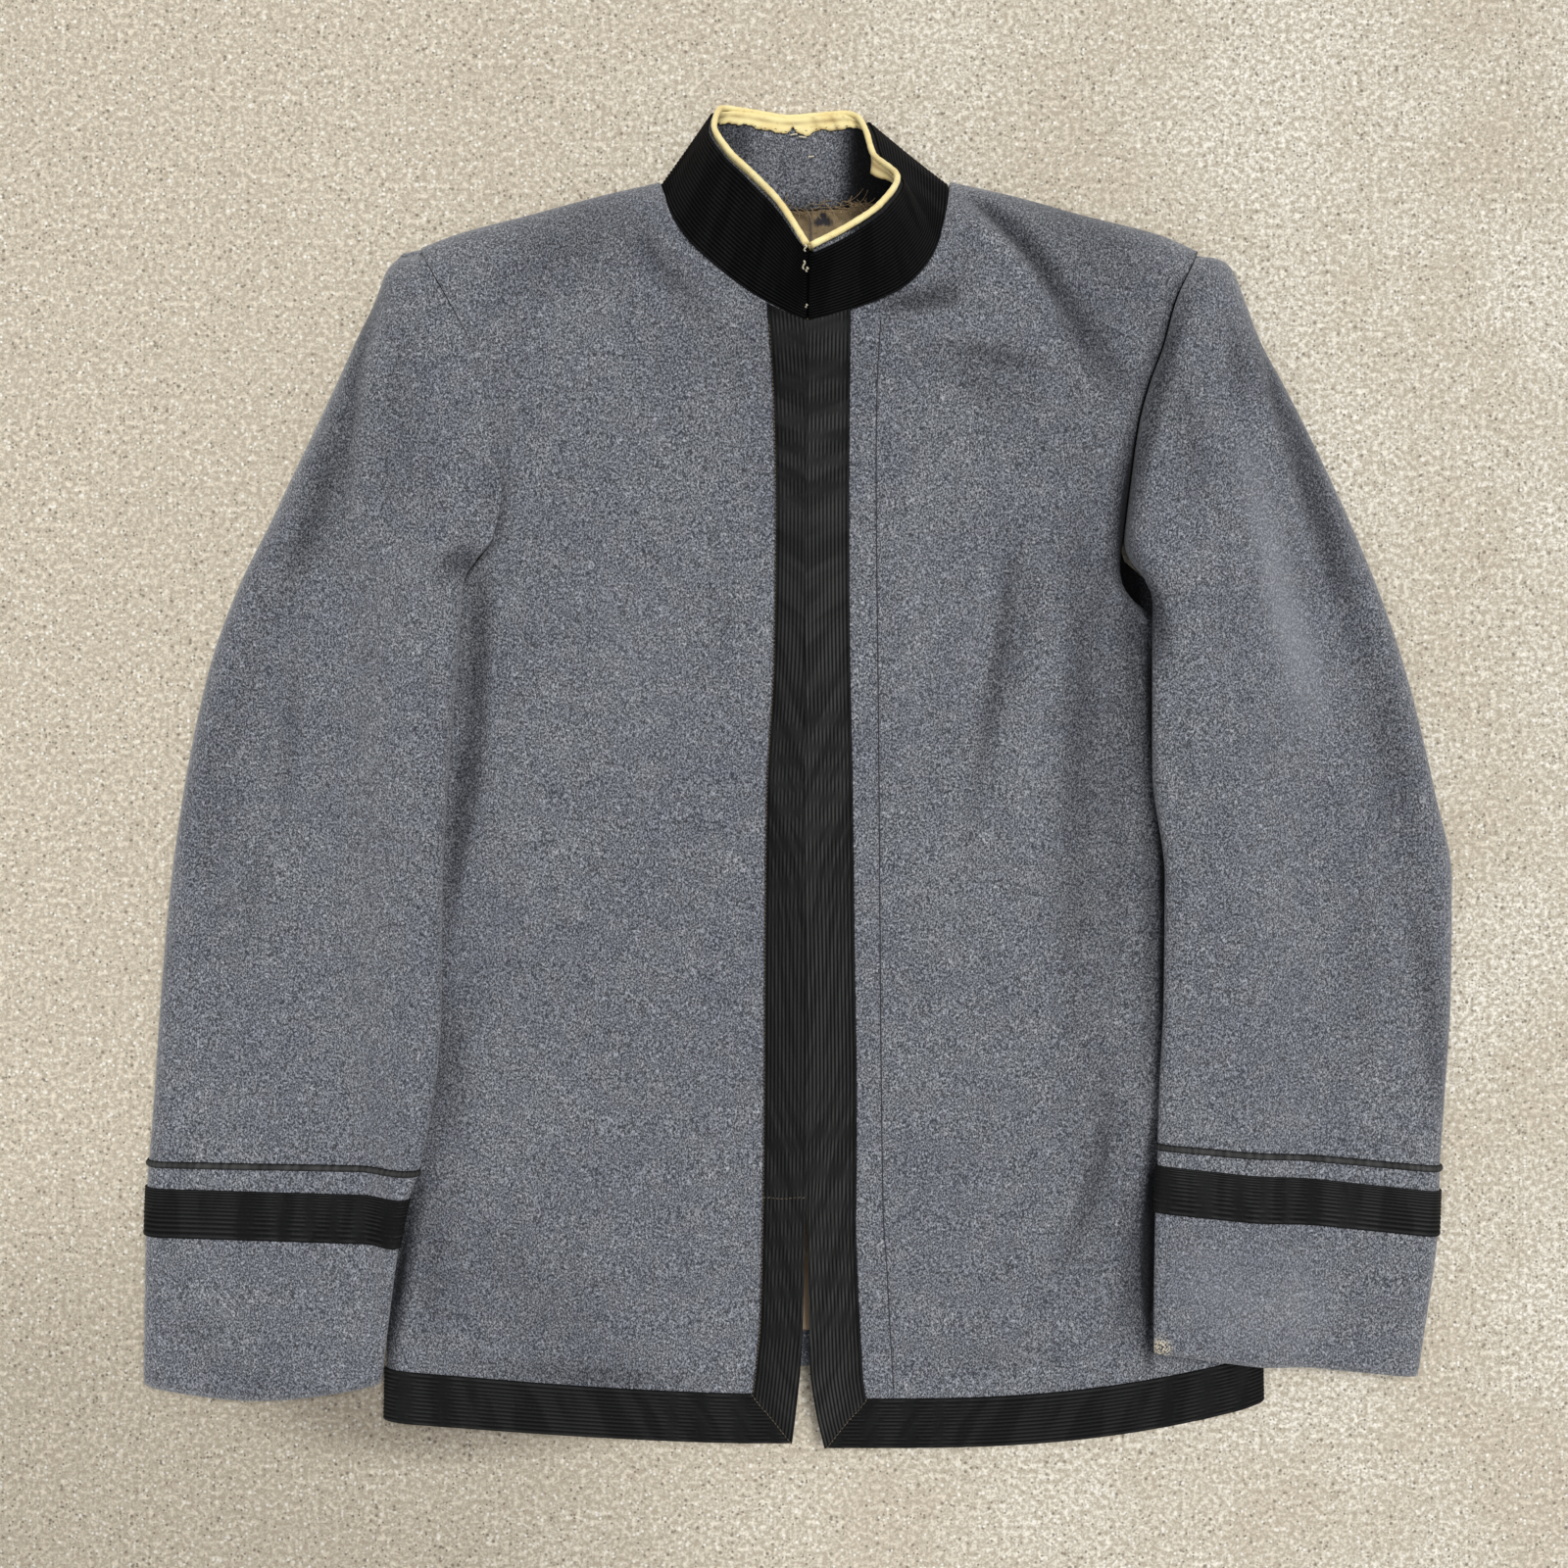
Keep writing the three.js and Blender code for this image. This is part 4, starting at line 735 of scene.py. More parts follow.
# Creases and rolls that the cloth has taken: negative depths are troughs.
FOLD = 1.9        # times the depths below
FRONT_FOLDS = {
    "left": strokes(
        (92, 324, 124, 293, 158, 245, 5, -2.6), (136, 279, 160, 243, 190, 207, 9, -2.0),
        (84, 318, 114, 288, 146, 246, 9, 1.5), (171, 128, 169, 105, 165, 82, 4, -1.3),
        (119, 122, 120, 80, 95, 2, 13, -1.6), (157, 70, 154, -20, 148, -113, 13, -1.9),
        (177, -176, 174, -235, 138, -309, 12, -1.6), (60, 260, 74, 263, 92, 272, 7, -1.6),
        (132, 100, 136, 20, 124, -90, 17, 1.0), (60, 180, 66, 90, 58, 10, 22, 0.9),
        (176, 60, 179, -40, 176, -150, 7, -1.6)),
    "right": strokes(
        (-86, 316, -80, 284, -56, 262, 7, -1.8), (-136, 268, -128, 236, -118, 190, 24, 1.6),
        (-39, 150, -45, 91, -39, 20, 5, -0.8), (-52, 160, -60, 90, -52, 0, 12, 0.8),
        (-80, -44, -70, -66, -58, -84, 7, -1.0), (-131, -230, -127, -268, -120, -300, 9, -1.2),
        (-180, 150, -179, 40, -181, -80, 10, -0.8), (-182, -70, -186, -120, -192, -190, 8, -0.6),
        (-100, 120, -96, 40, -104, -60, 26, 0.9), (-152, 40, -150, -60, -156, -170, 18, 1.0))}

FRONT_J = np.concatenate([
    spreads((0, 22), (3, 44), (6, 60), (10, 62), (NECK_ROW,))[:-1],
    NECK_ROW + (TOP_ROW - NECK_ROW) * np.sin(np.pi / 2 * np.linspace(0, 1, 40))])
t = np.linspace(0, 1, 110)
FRONT_C = np.concatenate([np.linspace(0, 1, 9)[:-1], 1 + mixed(t, np.sin(np.pi * t / 2), 0.7)])
for side in SIGN:
    c, j = np.meshgrid(FRONT_C, FRONT_J)
    points = front_points(side, c, j)
    flip = side == "right"
    normals = front_normals(side, points, c, j, flip)
    keep = ~((c[:-1, :-1] < 0.999) & (j[:-1, :-1] >= NECK_ROW - 0.001))
    x, y = points[..., 0], points[..., 1]
    # Painted shade and highlight: the table's strokes plus a share of the folds' depths, so troughs are
    # painted darker and ridges lighter.
    painted_shading = folds(x, y, FRONT_PAINTED_SHADING[side]) + 0.12 * folds(x, y, FRONT_FOLDS[side])
    if side == "left":
        # A thin line of painted shadow along the left armhole seam.
        off = np.hypot(curve(ARMHOLE[side], "y", y, "x") - x, np.maximum(0, 112 - y) / 3)
        painted_shading = painted_shading - 1.1 * bell(off, 1.3)
    made = cloth(f"front_{side}_cloth", points, -WOOL / 2, WOOL / 2, wool, normals=normals, flip=flip,
                 cells=keep, thin=0.85, marks={"painted_shading": np.clip(painted_shading, -2, 1)})
    finish(made, [f"front_{side}"])


# ---- Front bands and front hem braids ----
# A band of black ribbed mohair braid is sewn flat down each front edge, and the hem braid meets it
# at a mitre in the corner. Both lie on the wool and are stitched through near their edges.
for side, past, gleam, start in (("right", 0.2, 0.46, 0), ("left", 0.9, 0.7, 7)):
    flip = side == "left"
    out, v = np.meshgrid(np.arange(58) * RIB / 4 + 0.3, np.linspace(0, 1, 214))
    j = 0.02 + v * (BAND_ROW + 0.2)
    band = band_at(side, curve(FRONT_ROWS, "n", j, side[0] + "i"))[1]
    inside = out[:-1, :-1] < (band[:-1, :-1] + band[1:, :-1]) / 2 + past
    b = 1 - np.minimum(out, band + past) / band
    points = front_points(side, b, 2 * b + 0.02 + v * (BAND_ROW + 0.2 - 2 * b))
    # Less painted highlight near the bands' centre edges, as painted shade in the gap between them.
    made = ribbed(f"front_braid_{side}_ribs", points, out, braid, flip=flip, cells=inside,
                  run=start - points[..., 1], shine=gleam * (1 - 0.75 * bell(out, 3.6)))
    finish(made, [f"front_braid_{side}"])

    width = band_at(side, -360)[1]
    w, j = np.meshgrid(np.linspace(0, 1, 130), np.linspace(0.02, 2, RIBS * 4 + 1), indexing="ij")
    band_part, rest = width * (1 - j / 2) - 0.3, 230
    s = w * (band_part + rest)
    f = np.clip((s - band_part) / rest, 0, 1)
    c = np.where(s < band_part, j / 2 + (s + 0.3) / width, 1 + mixed(f, np.sin(np.pi * f / 2), f ** 3))
    points = front_points(side, c, j)
    normals = front_normals(side, points, c, j, flip)
    made = ribbed(f"hem_braid_{side}_ribs", points, across_columns(points, RIB * RIBS), braid,
                  normals=normals, flip=flip, run=np.abs(points[..., 0] - CENTRE), shine=0.28)
    finish(made, [f"hem_braid_{side}"])


# ---- Stitching on the fronts ----
# Plain lockstitch in slate thread runs down beside the left band, brown thread holds the right band's outer
# edge and both mitres, and one crosswise row tacks the right band.

# Each stitch is a short bar of thread, laid along a path and turned a little out of line.
stitches = bpy.data.node_groups.new("row of stitches", "GeometryNodeTree")
for name, way, kind in (
        ("Geometry", "INPUT", "Geometry"), ("Pitch", "INPUT", "Float"), ("Length", "INPUT", "Float"),
        ("Radius", "INPUT", "Float"), ("Wobble", "INPUT", "Float"), ("Thread", "INPUT", "Material"),
        ("Geometry", "OUTPUT", "Geometry")):
    stitches.interface.new_socket(name, in_out=way, socket_type="NodeSocket" + kind)
tree = Tree(stitches)
entry = tree.nodes.new("NodeGroupInput").outputs
line = tree.node("GeometryNodeMeshToCurve", {0: entry["Geometry"]})[0]
spots = tree.node("GeometryNodeCurveToPoints", dict(Curve=line, Length=entry["Pitch"]), mode="LENGTH")
bar = tree.node("GeometryNodeMeshCylinder", dict(Vertices=6, Depth=entry["Length"], Radius=entry["Radius"]))
turn = tree.node("FunctionNodeAlignRotationToVector", dict(Vector=spots["Tangent"]), axis="Z")
chance = tree.node("FunctionNodeRandomValue", dict(Min=(-1, -1, -1), Max=(1, 1, 1), Seed=11),
                   data_type="FLOAT_VECTOR")
amount = tree.node("ShaderNodeVectorMath", dict(Vector=chance["Value"], Scale=entry["Wobble"]),
                   operation="SCALE")
wobbled = tree.node("FunctionNodeRotateRotation", {
    "Rotation": turn["Rotation"], "Rotate By": amount["Vector"]})
copies = tree.node("GeometryNodeInstanceOnPoints", dict(
    Points=spots["Points"], Instance=bar["Mesh"], Rotation=wobbled["Rotation"]))
real = tree.node("GeometryNodeRealizeInstances", {0: copies[0]})[0]
cover = tree.node("GeometryNodeSetMaterial", dict(Geometry=real, Material=entry["Thread"]))[0]
tree.fill(tree.nodes.new("NodeGroupOutput"), dict(Geometry=cover))


def thread_material(name, low, high):
    material, tree, shader = new_material(name)
    strands = tree.noise(tree.coords("Object"), 1400, 2, 0.6)
    tree.fill(shader, {
        "Base Color": tree.blend(tree.span(strands, 0.3, 0.7), low, high), "Roughness": 0.8,
        "Sheen Weight": 0.2, "Normal": tree.bump(strands, 0.0001)})
    return material


def sew(name, paths, thread, pitch=2.4, length=1.7, radius=0.2, wobble=0.05):
    """Stitches along each path of points, with their sizes in mm, as one plain mesh."""
    points, edges = [], []
    for path in paths:
        edges += [(len(points) + k, len(points) + k + 1) for k in range(len(path) - 1)]
        points += (np.asarray(path, float) * 0.001).tolist()
    line = bpy.data.meshes.new(name + "_path")
    line.from_pydata(points, edges, [])
    made = put(name, line)
    modifier = made.modifiers.new("stitches", "NODES")
    modifier.node_group = stitches
    sizes = dict(Pitch=pitch * 0.001, Length=length * 0.001, Radius=radius * 0.001,
                 Wobble=wobble, Thread=thread)
    for item in stitches.interface.items_tree:
        if item.in_out == "INPUT" and item.name in sizes:
            modifier[item.identifier] = sizes[item.name]
    mesh = bpy.data.meshes.new_from_object(made.evaluated_get(bpy.context.evaluated_depsgraph_get()))
    made.modifiers.remove(modifier)
    made.data = mesh
    mesh.name = name
    mesh.shade_smooth()
    finish(made, [])


slate_thread = thread_material("slate thread", srgb(18, 20, 26), srgb(40, 43, 53))
brown_thread = thread_material("brown thread", srgb(58, 48, 36), srgb(112, 94, 70))
TOPSTITCH = table(
    "y x",
    (-346, 54.7), (-308, 52.4), (-276, 50.7), (-239, 48.4), (52, 44.9), (153, 43.5), (187, 43.3), (219, 43.6),
    (247, 44.8))
y = np.linspace(-342, 246, 300)
x = curve(TOPSTITCH, "y", y, "x")
seam = np.stack([x, y, front_height("left", x, y) + WOOL / 2 + 0.1], -1)
sew("topstitch_left_thread", [seam], slate_thread, pitch=2.7, length=2.55, radius=0.36)
for side in SIGN:
    b = np.linspace(0.03, 0.98, 40)
    mitre = front_points(side, b, 2 * b) + (0, 0, LAYER + BRAID)
    rows = [mitre]
    if side == "right":
        j = np.linspace(2.1, 15.6, 400)
        rows.append(front_points(side, 0.975 + 0 * j, j) + (0, 0, LAYER + BRAID - 0.15))
        b = np.linspace(0.05, 0.95, 30)
        rows.append(front_points(side, b, 4.77 + 0.006 * np.sin(b * 9)) + (0, 0, LAYER + BRAID + 0.05))
    sew(f"front_braid_{side}_thread", rows, brown_thread, pitch=2.2, length=1.5, radius=0.26, wobble=0.4)


# ---- Sleeves ----
# Each sleeve is cut in two, a top and an under, joined down both folded edges. It is set into the
# armhole, crosses the side of the body at rest on it, and lies flat on the floor further out.
SLEEVE = {
    "right": table(
        "n xi yi xo yo thick drape",
        (0, -236.5, -342, -370, -342, 10, 16), (1, -223.5, -261.6, -368, -257, 12, 22),
        (2, -217.5, -234, -367, -229.6, 12, 26), (3, -212.6, -221.2, -366.3, -218.2, 12, 28),
        (4, -211.6, -217.4, -366, -214.4, 12, 28), (5, -203.5, -178, -363.5, -178, 13, 40),
        (6, -199, -128, -360, -127, 14, 50), (7, -198, -60, -354, -60, 16, 60),
        (8, -194, 8, -344, 8, 17, 60), (9, -188.5, 66, -331, 66, 18, 60),
        (10, -185, 107, -314, 112, 18, 60), (11, -168.5, 135, -299, 141, 24, 60),
        (12, -163.5, 160, -288, 164, 25, 60), (13, -168, 190, -273, 194, 27, 60),
        (14, -173, 216, -259.5, 221, 29, 60), (15, -180, 240, -247, 247, 31, 60),
        (16, -191, 262, -236, 269, 32, 60), (17, -203, 282, -229.5, 286, 28, 60),
        (18, -211, 298, -221.5, 296, 16, 60)),
    "left": table(
        "n xi yi xo yo thick drape",
        (0, 200.5, -320.4, 352, -337.6, 10, 40), (1, 201, -241, 362.3, -257.6, 12, 44),
        (2, 202, -214.6, 363.2, -232, 12, 46), (3, 202, -206.3, 363.4, -221.4, 12, 46),
        (4, 202, -202.4, 363.6, -217.5, 12, 48), (5, 203.4, -166, 367, -174, 13, 52),
        (6, 205.4, -118, 370, -122, 14, 56), (7, 205.6, -56, 370.5, -58, 16, 60),
        (8, 198, 4, 361, -8, 17, 60), (9, 197.4, 56, 345, 58, 18, 60), (10, 197, 92, 332, 98, 18, 60),
        (11, 193, 126, 318, 132, 25, 60), (12, 186, 160, 304.5, 162, 26, 60),
        (13, 185, 192, 289, 193, 29, 60), (14, 194, 219, 275, 219, 31, 60),
        (15, 203, 243, 261, 244, 32, 60), (16, 209, 263, 252, 266, 32, 60),
        (17, 219, 282, 244, 285, 28, 60), (18, 225, 294.8, 235, 292.8, 16, 60))}
SET_IN = {"right": (10, 1), "left": (10.2, 1.1)}   # rows where each fold turns into the armhole seam
BRAID_ROW, CORD_ROW, FOLD_ROW, HEAD_ROW = 1, 3, 10, 18
CUFF_BOW = {"right": 8.5, "left": 1}    # how far the cuff's end curves down
BRAID_LIFT = 1.55    # room left under the cuff for the braid and cord that go round it
SLEEVE_EDGE = 3.5    # half height of a folded edge
ACROSS, RIM = 150, 1.2    # a sleeve's usual width, and how far its wall turns at an edge
SLEEVE_FOLDS = {
    "right": strokes(
        (-236, 252, -246, 205, -252, 126, 5, -1.6), (-229, 246, -236, 200, -240, 130, 9, 1.4),
        (-254, 190, -263, 150, -268, 90, 12, -1.6), (-268, 118, -273, 70, -276, 10, 9, 1.6),
        (-292, 90, -303, 20, -316, -60, 15, -1.4), (-318, -10, -326, -60, -330, -112, 12, -1.8),
        (-226, 100, -228, 20, -232, -70, 20, 1.2), (-208, 110, -205, 60, -208, -10, 7, -1.2),
        (-262, -20, -258, -90, -262, -170, 20, -0.9), (-250, -272, -248, -300, -246, -330, 18, 0.7),
        (-300, -130, -306, -170, -310, -205, 22, 1.0), (-205, 170, -200, 140, -204, 112, 9, -1.0)),
    "left": strokes(
        (258, 246, 264, 214, 268, 184, 4, -1.4), (261, 214, 267, 164, 279, 101, 11, 1.8),
        (279, 101, 286, 66, 292, 34, 12, 1.4), (264, 214, 284, 156, 308, 90, 12, -2.0),
        (308, 96, 326, 10, 344, -102, 15, -2.4), (240, 250, 239, 218, 235, 182, 8, -1.5),
        (206, 214, 207, 204, 206, 194, 6, -1.2), (205, 60, 207, 20, 206, -60, 8, -1.4),
        (262, 60, 262, -20, 270, -110, 24, 1.1), (300, -60, 304, -120, 310, -180, 18, 0.9),
        (232, 130, 240, 70, 238, 10, 12, -1.2), (250, -150, 246, -180, 248, -205, 20, -0.8),
        (280, -262, 276, -300, 278, -330, 26, 0.8))}


def support(x, y, drape):
    """Height of whatever a sleeve lies on: the body's cloth, then the floor."""
    on_hem = 1.6 * smooth((-300 - y) / 16)
    return (crown(x, y) + 2.3 + on_hem) * (1 - smooth((9 - from_side(x, y)) / drape))


def sleeve_points(side, s, j, upper):
    """s: 0 at the folded edge by the body to 1 at the outer one. j: row from the cuff."""
    rows = SLEEVE[side]
    xi, yi, xo, yo, thick, drape = (
        curve(rows, "n", j, name) for name in ("xi", "yi", "xo", "yo", "thick", "drape"))
    bow = hermite(j, (0, 1, 2), (CUFF_BOW[side], 0, 0))
    rise = 1 + BRAID_LIFT * np.interp(j, (0, 1, 4, 5), (0, 1, 1, 0))

    def face(inner_x, set_in):
        x = mixed(inner_x, xo, s)
        y = mixed(yi, yo, s) - bow * np.sin(np.pi * s)
        width = np.hypot(xo - inner_x, yo - yi)
        ground = support(x, y, drape) + rise
        outer_z = mixed(rise + SLEEVE_EDGE, SEAM_Z, smooth((yo - 150) / 130))
        inner_z = support(inner_x, yi, drape) + rise + SLEEVE_EDGE
        if set_in:
            inner_z = front_z(inner_x, yi) if upper else back_z(inner_x, yi, -400)
        base = mixed(inner_z, outer_z, smooth(s))
        outer = quarter((1 - s) * width / np.minimum(11 + np.maximum(0, thick - 14), width * 0.6))
        inner = quarter(s * width / (9 if set_in else 11))
        if set_in and upper and side == "right":
            inner = smooth(s * width / 34)
        if upper:
            high = thick + (8 * (1 - smooth(s)) if set_in else 0.7 * ground)
            z = base + (high - base) * inner * outer + 0.25 * bell((1 - s) * width, 1)
            middle = smooth(s * width / 16) * smooth((1 - s) * width / 16)
            z = z + FOLD * folds(x, y, SLEEVE_FOLDS[side]) * middle
        else:
            z = base + ((rise if set_in else ground) - base) * outer * (1 if set_in else inner)
            z = z - 0.25 * bell((1 - s) * width, 1)
        z = mixed(z, SEAM_Z + (0.5 if upper else -0.5), smooth((j - HEAD_ROW + 0.7) / 0.7))
        return np.stack([x, y, z], -1)

    if upper:
        seam_x = curve(ARMHOLE[side], "y", yi, "x") + (-0.15 if side == "right" else 0.5)
    else:
        seam_x = curve(BACK_ARM, "y", yi, side) + SIGN[side] * 1.8
    begins, takes = SET_IN[side]
    t = smooth((j - begins) / takes)[..., None]
    return face(xi, False) * (1 - t) + face(seam_x, True) * t


def sleeve_normals(side, points, s, j, upper, flip):
    sign, up = SIGN[side], 1 if upper else -1
    n = toward(normals_of(points, flip), (sign, 0, 0), bell((1 - s) * ACROSS, RIM))
    rim = bell(s * ACROSS, RIM)
    n = toward(n, (-sign, 0, 0), rim * (j <= FOLD_ROW + 0.5))
    n = toward(n, (0, 0, up), rim * (j > FOLD_ROW + 0.5))
    return toward(n, (sign * 0.3, 0.9, up * 0.3), bell(HEAD_ROW - j, 0.25))


# Painted light and shade on the sleeves, as shares, as on the fronts.
SLEEVE_PAINTED_SHADING = {
    "right": strokes(
        (-236, 262, -268, 150, -300, 84, 11, -0.6), (-222, 270, -224, 200, -236, 110, 22, -0.42),
        (-300, 90, -322, 20, -338, -60, 12, -0.35), (-178, 132, -186, 120, -200, 116, 9, -0.9),
        (-222, 262, -228, 240, -232, 215, 6, 0.4), (-222, 286, -236, 264, -248, 240, 7, -0.3),
        (-274, 100, -280, 40, -290, -30, 7, -0.5), (-298, -30, -306, -70, -312, -110, 8, -0.4),
        (-236, 40, -234, 0, -236, -30, 9, -0.25), (-352, 0, -358, -70, -362, -150, 5, -0.4),
        (-350, -270, -320, -330, -270, -336, 18, -0.35), (-168, 180, -170, 160, -170, 140, 6, -0.4),
        (-330, -245, -335, -270, -340, -300, 14, 0.25)),
    "left": strokes(
        (251, 246, 284, 168, 318, 72, 11, -0.75), (322, 80, 338, 20, 350, -50, 12, -0.35),
        (310, -26, 318, -100, 318, -190, 10, -0.4), (236, 252, 243, 225, 248, 196, 7, -0.5),
        (220, 276, 199, 214, 186, 140, 5, -0.85), (192, 110, 199, 90, 201, 60, 6, -0.9),
        (208, 230, 214, 190, 224, 150, 10, -0.3), (236, 250, 254, 150, 286, 60, 11, 0.65),
        (258, 120, 280, 60, 296, 10, 14, 0.5), (236, 276, 232, 200, 224, 120, 24, -0.25),
        (300, -40, 306, -110, 308, -190, 6, -0.2), (347, -60, 356, -130, 360, -200, 9, -0.6),
        (206, -258, 235, -285, 262, -330, 30, 0.45), (318, -262, 316, -300, 318, -332, 9, -0.3),
        (270, -262, 288, -290, 296, -326, 20, 0.3), (340, -270, 336, -300, 334, -332, 10, -0.2),
        (222, -178, 290, -190, 350, -196, 10, 0.2))}

SLEEVE_J = spreads((0, 20), (1, 14), (4, 84), (10, 64), (17, 8), (HEAD_ROW,))
for side in SIGN:
    for upper in (True, False):
        s, j = np.meshgrid(spread(0, 1, 60 if upper else 46, 1), SLEEVE_J)
        points = sleeve_points(side, s, j, upper)
        flip = (side == "right") == upper
        normals = sleeve_normals(side, points, s, j, upper, flip)
        name = "top" if upper else "under"
        x, y = points[..., 0], points[..., 1]
        # Painted shade and highlight from the table and a share of the folds' depths; the under sleeves carry
        # only the armpits' painted shadow.
        painted_shading = folds(x, y, SLEEVE_PAINTED_SHADING[side]) + 0.12 * folds(x, y, SLEEVE_FOLDS[side])
        if not upper:
            painted_shading = np.clip(folds(x, y, ARMPIT_SHADE), -2, 0)
        marks = {"painted_shading": np.clip(painted_shading, -1 if upper else -2, 1)}
        if upper and side == "left":
            marks["worn"] = np.clip(1.6 - np.hypot((x - 203.5) / 4, (y + 318) / 4.5), 0, 1)
        made = cloth(f"sleeve_{name}_{side}_cloth", points, -WOOL / 2, WOOL / 2, wool,
                     normals=normals, flip=flip, thin=0.85, marks=marks)
        finish(made, [f"sleeve_{name}_{side}"])


# ---- Cuff braids and cords ----
# Above each cuff a band of the black braid goes right round the sleeve, with a thin black cord
# parallel to it a finger's width above. Both are sewn on and join at the inner seam.
for side, gleam in (("right", 0.29), ("left", 0.37)):
    flip = side == "left"
    for name, low_row, count in (("braid", BRAID_ROW, RIBS * 4 + 1), ("cord", CORD_ROW, 11)):
        u, w = np.meshgrid(np.linspace(0, 2, 190), np.linspace(0, 1, count), indexing="ij")
        s = (1 - np.cos(np.pi * np.minimum(u, 2 - u))) / 2
        top, low = (sleeve_points(side, s, low_row + w, upper) for upper in (True, False))
        points = np.where((u <= 1)[..., None], top, low)
        normals = toward(normals_of(points, flip), (SIGN[side], 0, 0), bell((1 - s) * ACROSS, RIM))
        normals = toward(normals, (-SIGN[side], 0, 0), bell(s * ACROSS, RIM))
        if name == "braid":
            made = ribbed(f"cuff_braid_{side}_ribs", points, across_columns(points, RIB * RIBS), braid,
                          normals=normals, flip=flip, thin=1, run=np.abs(points[..., 0]), shine=gleam)
            finish(made, [f"cuff_braid_{side}"])
        else:
            # The cord's rib mark is a painted highlight along its rounded top and its twist.
            round_top = np.sqrt(np.clip(1 - (2 * w - 1) ** 2, 0, 1))
            high = LAYER + 0.25 + BRAID * 0.9 * round_top + 0.12 * np.sin(u * 260 + w * 5)
            made = cloth(f"cuff_cord_{side}_round", points, LAYER, high, braid, normals=normals, flip=flip,
                         thin=1, marks={"rib": 0.6 * round_top + 0.2 * np.sin(u * 260)})
            finish(made, [f"cuff_cord_{side}"])


# ---- Collar ----
# A stiff standing collar of the wool, covered outside by ribbed braid that follows its length. A
# pale yellow strip lines its upper edge inside and is rolled over the top as a piping.
COLLAR = table(
    "k bx by bz tx ty tz lift",
    (0, 4.4, 246.5, 57, 4.4, 270, 104, 2.4), (1, -20, 259, 53, -9.2, 297, 88, 2.4),
    (2, -42, 276, 47.5, -23.6, 320, 67, 2.4), (3, -60, 295, 40.5, -37.6, 340, 50, 2.4),
    (4, -70.5, 314.5, 28.5, -45.8, 361, 31, 2.6), (5, -75.5, 331, 15.5, -42.8, 377, 15, 3),
    (6, -71, 334.5, 8, -36.5, 379.5, 8.5, 2.6), (7, -50, 331.5, 5, -28, 379, 6.5, 1.2),
    (8, -23, 327, 4, -17, 377.5, 5.5, 0.3), (9, 4, 325, 3.9, -4.5, 376, 5, 0.3),
    (10, 32, 327, 4, 10, 377, 5.2, 0.3), (11, 60, 331.5, 5, 26, 378, 6, 1.2),
    (12, 80, 334.5, 8, 34, 375, 9, 2.6), (13, 84.5, 331, 16, 38.5, 362.5, 20, 3),
    (14, 82, 311, 31.5, 41.8, 344, 34, 2.6), (15, 74, 286, 43, 53.4, 322.5, 57, 2.4),
    (16, 57, 266, 50, 43.5, 299.5, 82, 2.4), (17, 32, 254, 54.5, 25.5, 282.5, 95, 2.4),
    (18, 6.4, 246.5, 57, 6.4, 269.5, 104, 2.4))
COLLAR_END = len(COLLAR) - 1


def collar_line(k, which):
    return np.stack([curve(COLLAR, "k", k, which + axis) for axis in "xyz"], -1)


def collar_points(k, w, short=2.7):
    """k: 0 at the right front edge, round the neck, to its end at the left. w: 0 low to 1 high."""
    base, top = collar_line(k, "b"), collar_line(k, "t")
    long = np.linalg.norm(top - base, axis=-1)
    up = unit(top - base)
    along = unit(collar_line(k + 0.2, "t") - collar_line(k - 0.2, "t"))
    skew = np.maximum(0.5, np.linalg.norm(np.cross(along, up), axis=-1))
    lift = curve(COLLAR, "k", k, "lift")
    return base + up * mixed(lift, long - short / skew, w)[..., None]


w, k = np.meshgrid(np.linspace(-0.03, 1, 26), np.linspace(0.06, 17.94, 170))
points = collar_points(k, w)
collar_out = normals_of(points)
x = points[..., 0]
# Painted shade inside the collar, darkest toward +X and along its foot.
inside = -0.2 - 1.8 * smooth((x - 20) / 14) - 0.7 * smooth((-20 - x) / 14) - 0.5 * smooth((0.2 - w) / 0.2)
made = cloth("collar_stand_cloth", points, -WOOL / 2, WOOL / 2, wool, normals=collar_out,
             marks={"painted_shading": np.clip(inside, -2, 0)})
finish(made, ["collar_stand"])

collar_braid_material = braid_material("black collar braid", srgb(2, 2, 3), srgb(38, 38, 39), 0.04)
COLLAR_RIBS = 23
ends = np.array([0, 0.02, 0.045])
w, k = np.meshgrid(np.linspace(-0.045, 1, COLLAR_RIBS * 4 + 1),
                   np.concatenate([ends, np.linspace(0.07, 17.93, 188), COLLAR_END - ends[::-1]]))
points = collar_points(k, w * np.where(k < 9, 0.985, 0.965))
points[..., 0] += 0.85 * (np.clip(1 - k / 0.3, 0, 1) - np.clip(1 - (COLLAR_END - k) / 0.3, 0, 1))
from_end = np.minimum(k, COLLAR_END - k)
# Painted highlight on the collar's ribs, strongest near its ends and low down, and at one place on its left
# side.
crest_highlight_places = 0.75 + 0.7 * bell(k - 13.2, 1.2) + 0.6 * bell(from_end, 1.3) * (1 - w)
wrapped = np.where(from_end < 0.05, -WOOL / 2 - 0.2, LAYER)      # round the collar's front edges
made = ribbed("collar_braid_ribs", points, across_columns(points, RIB * COLLAR_RIBS), collar_braid_material,
              depth=0.6, crush=0, low=wrapped, peak=4, shine=crest_highlight_places)
finish(made, ["collar_braid"])

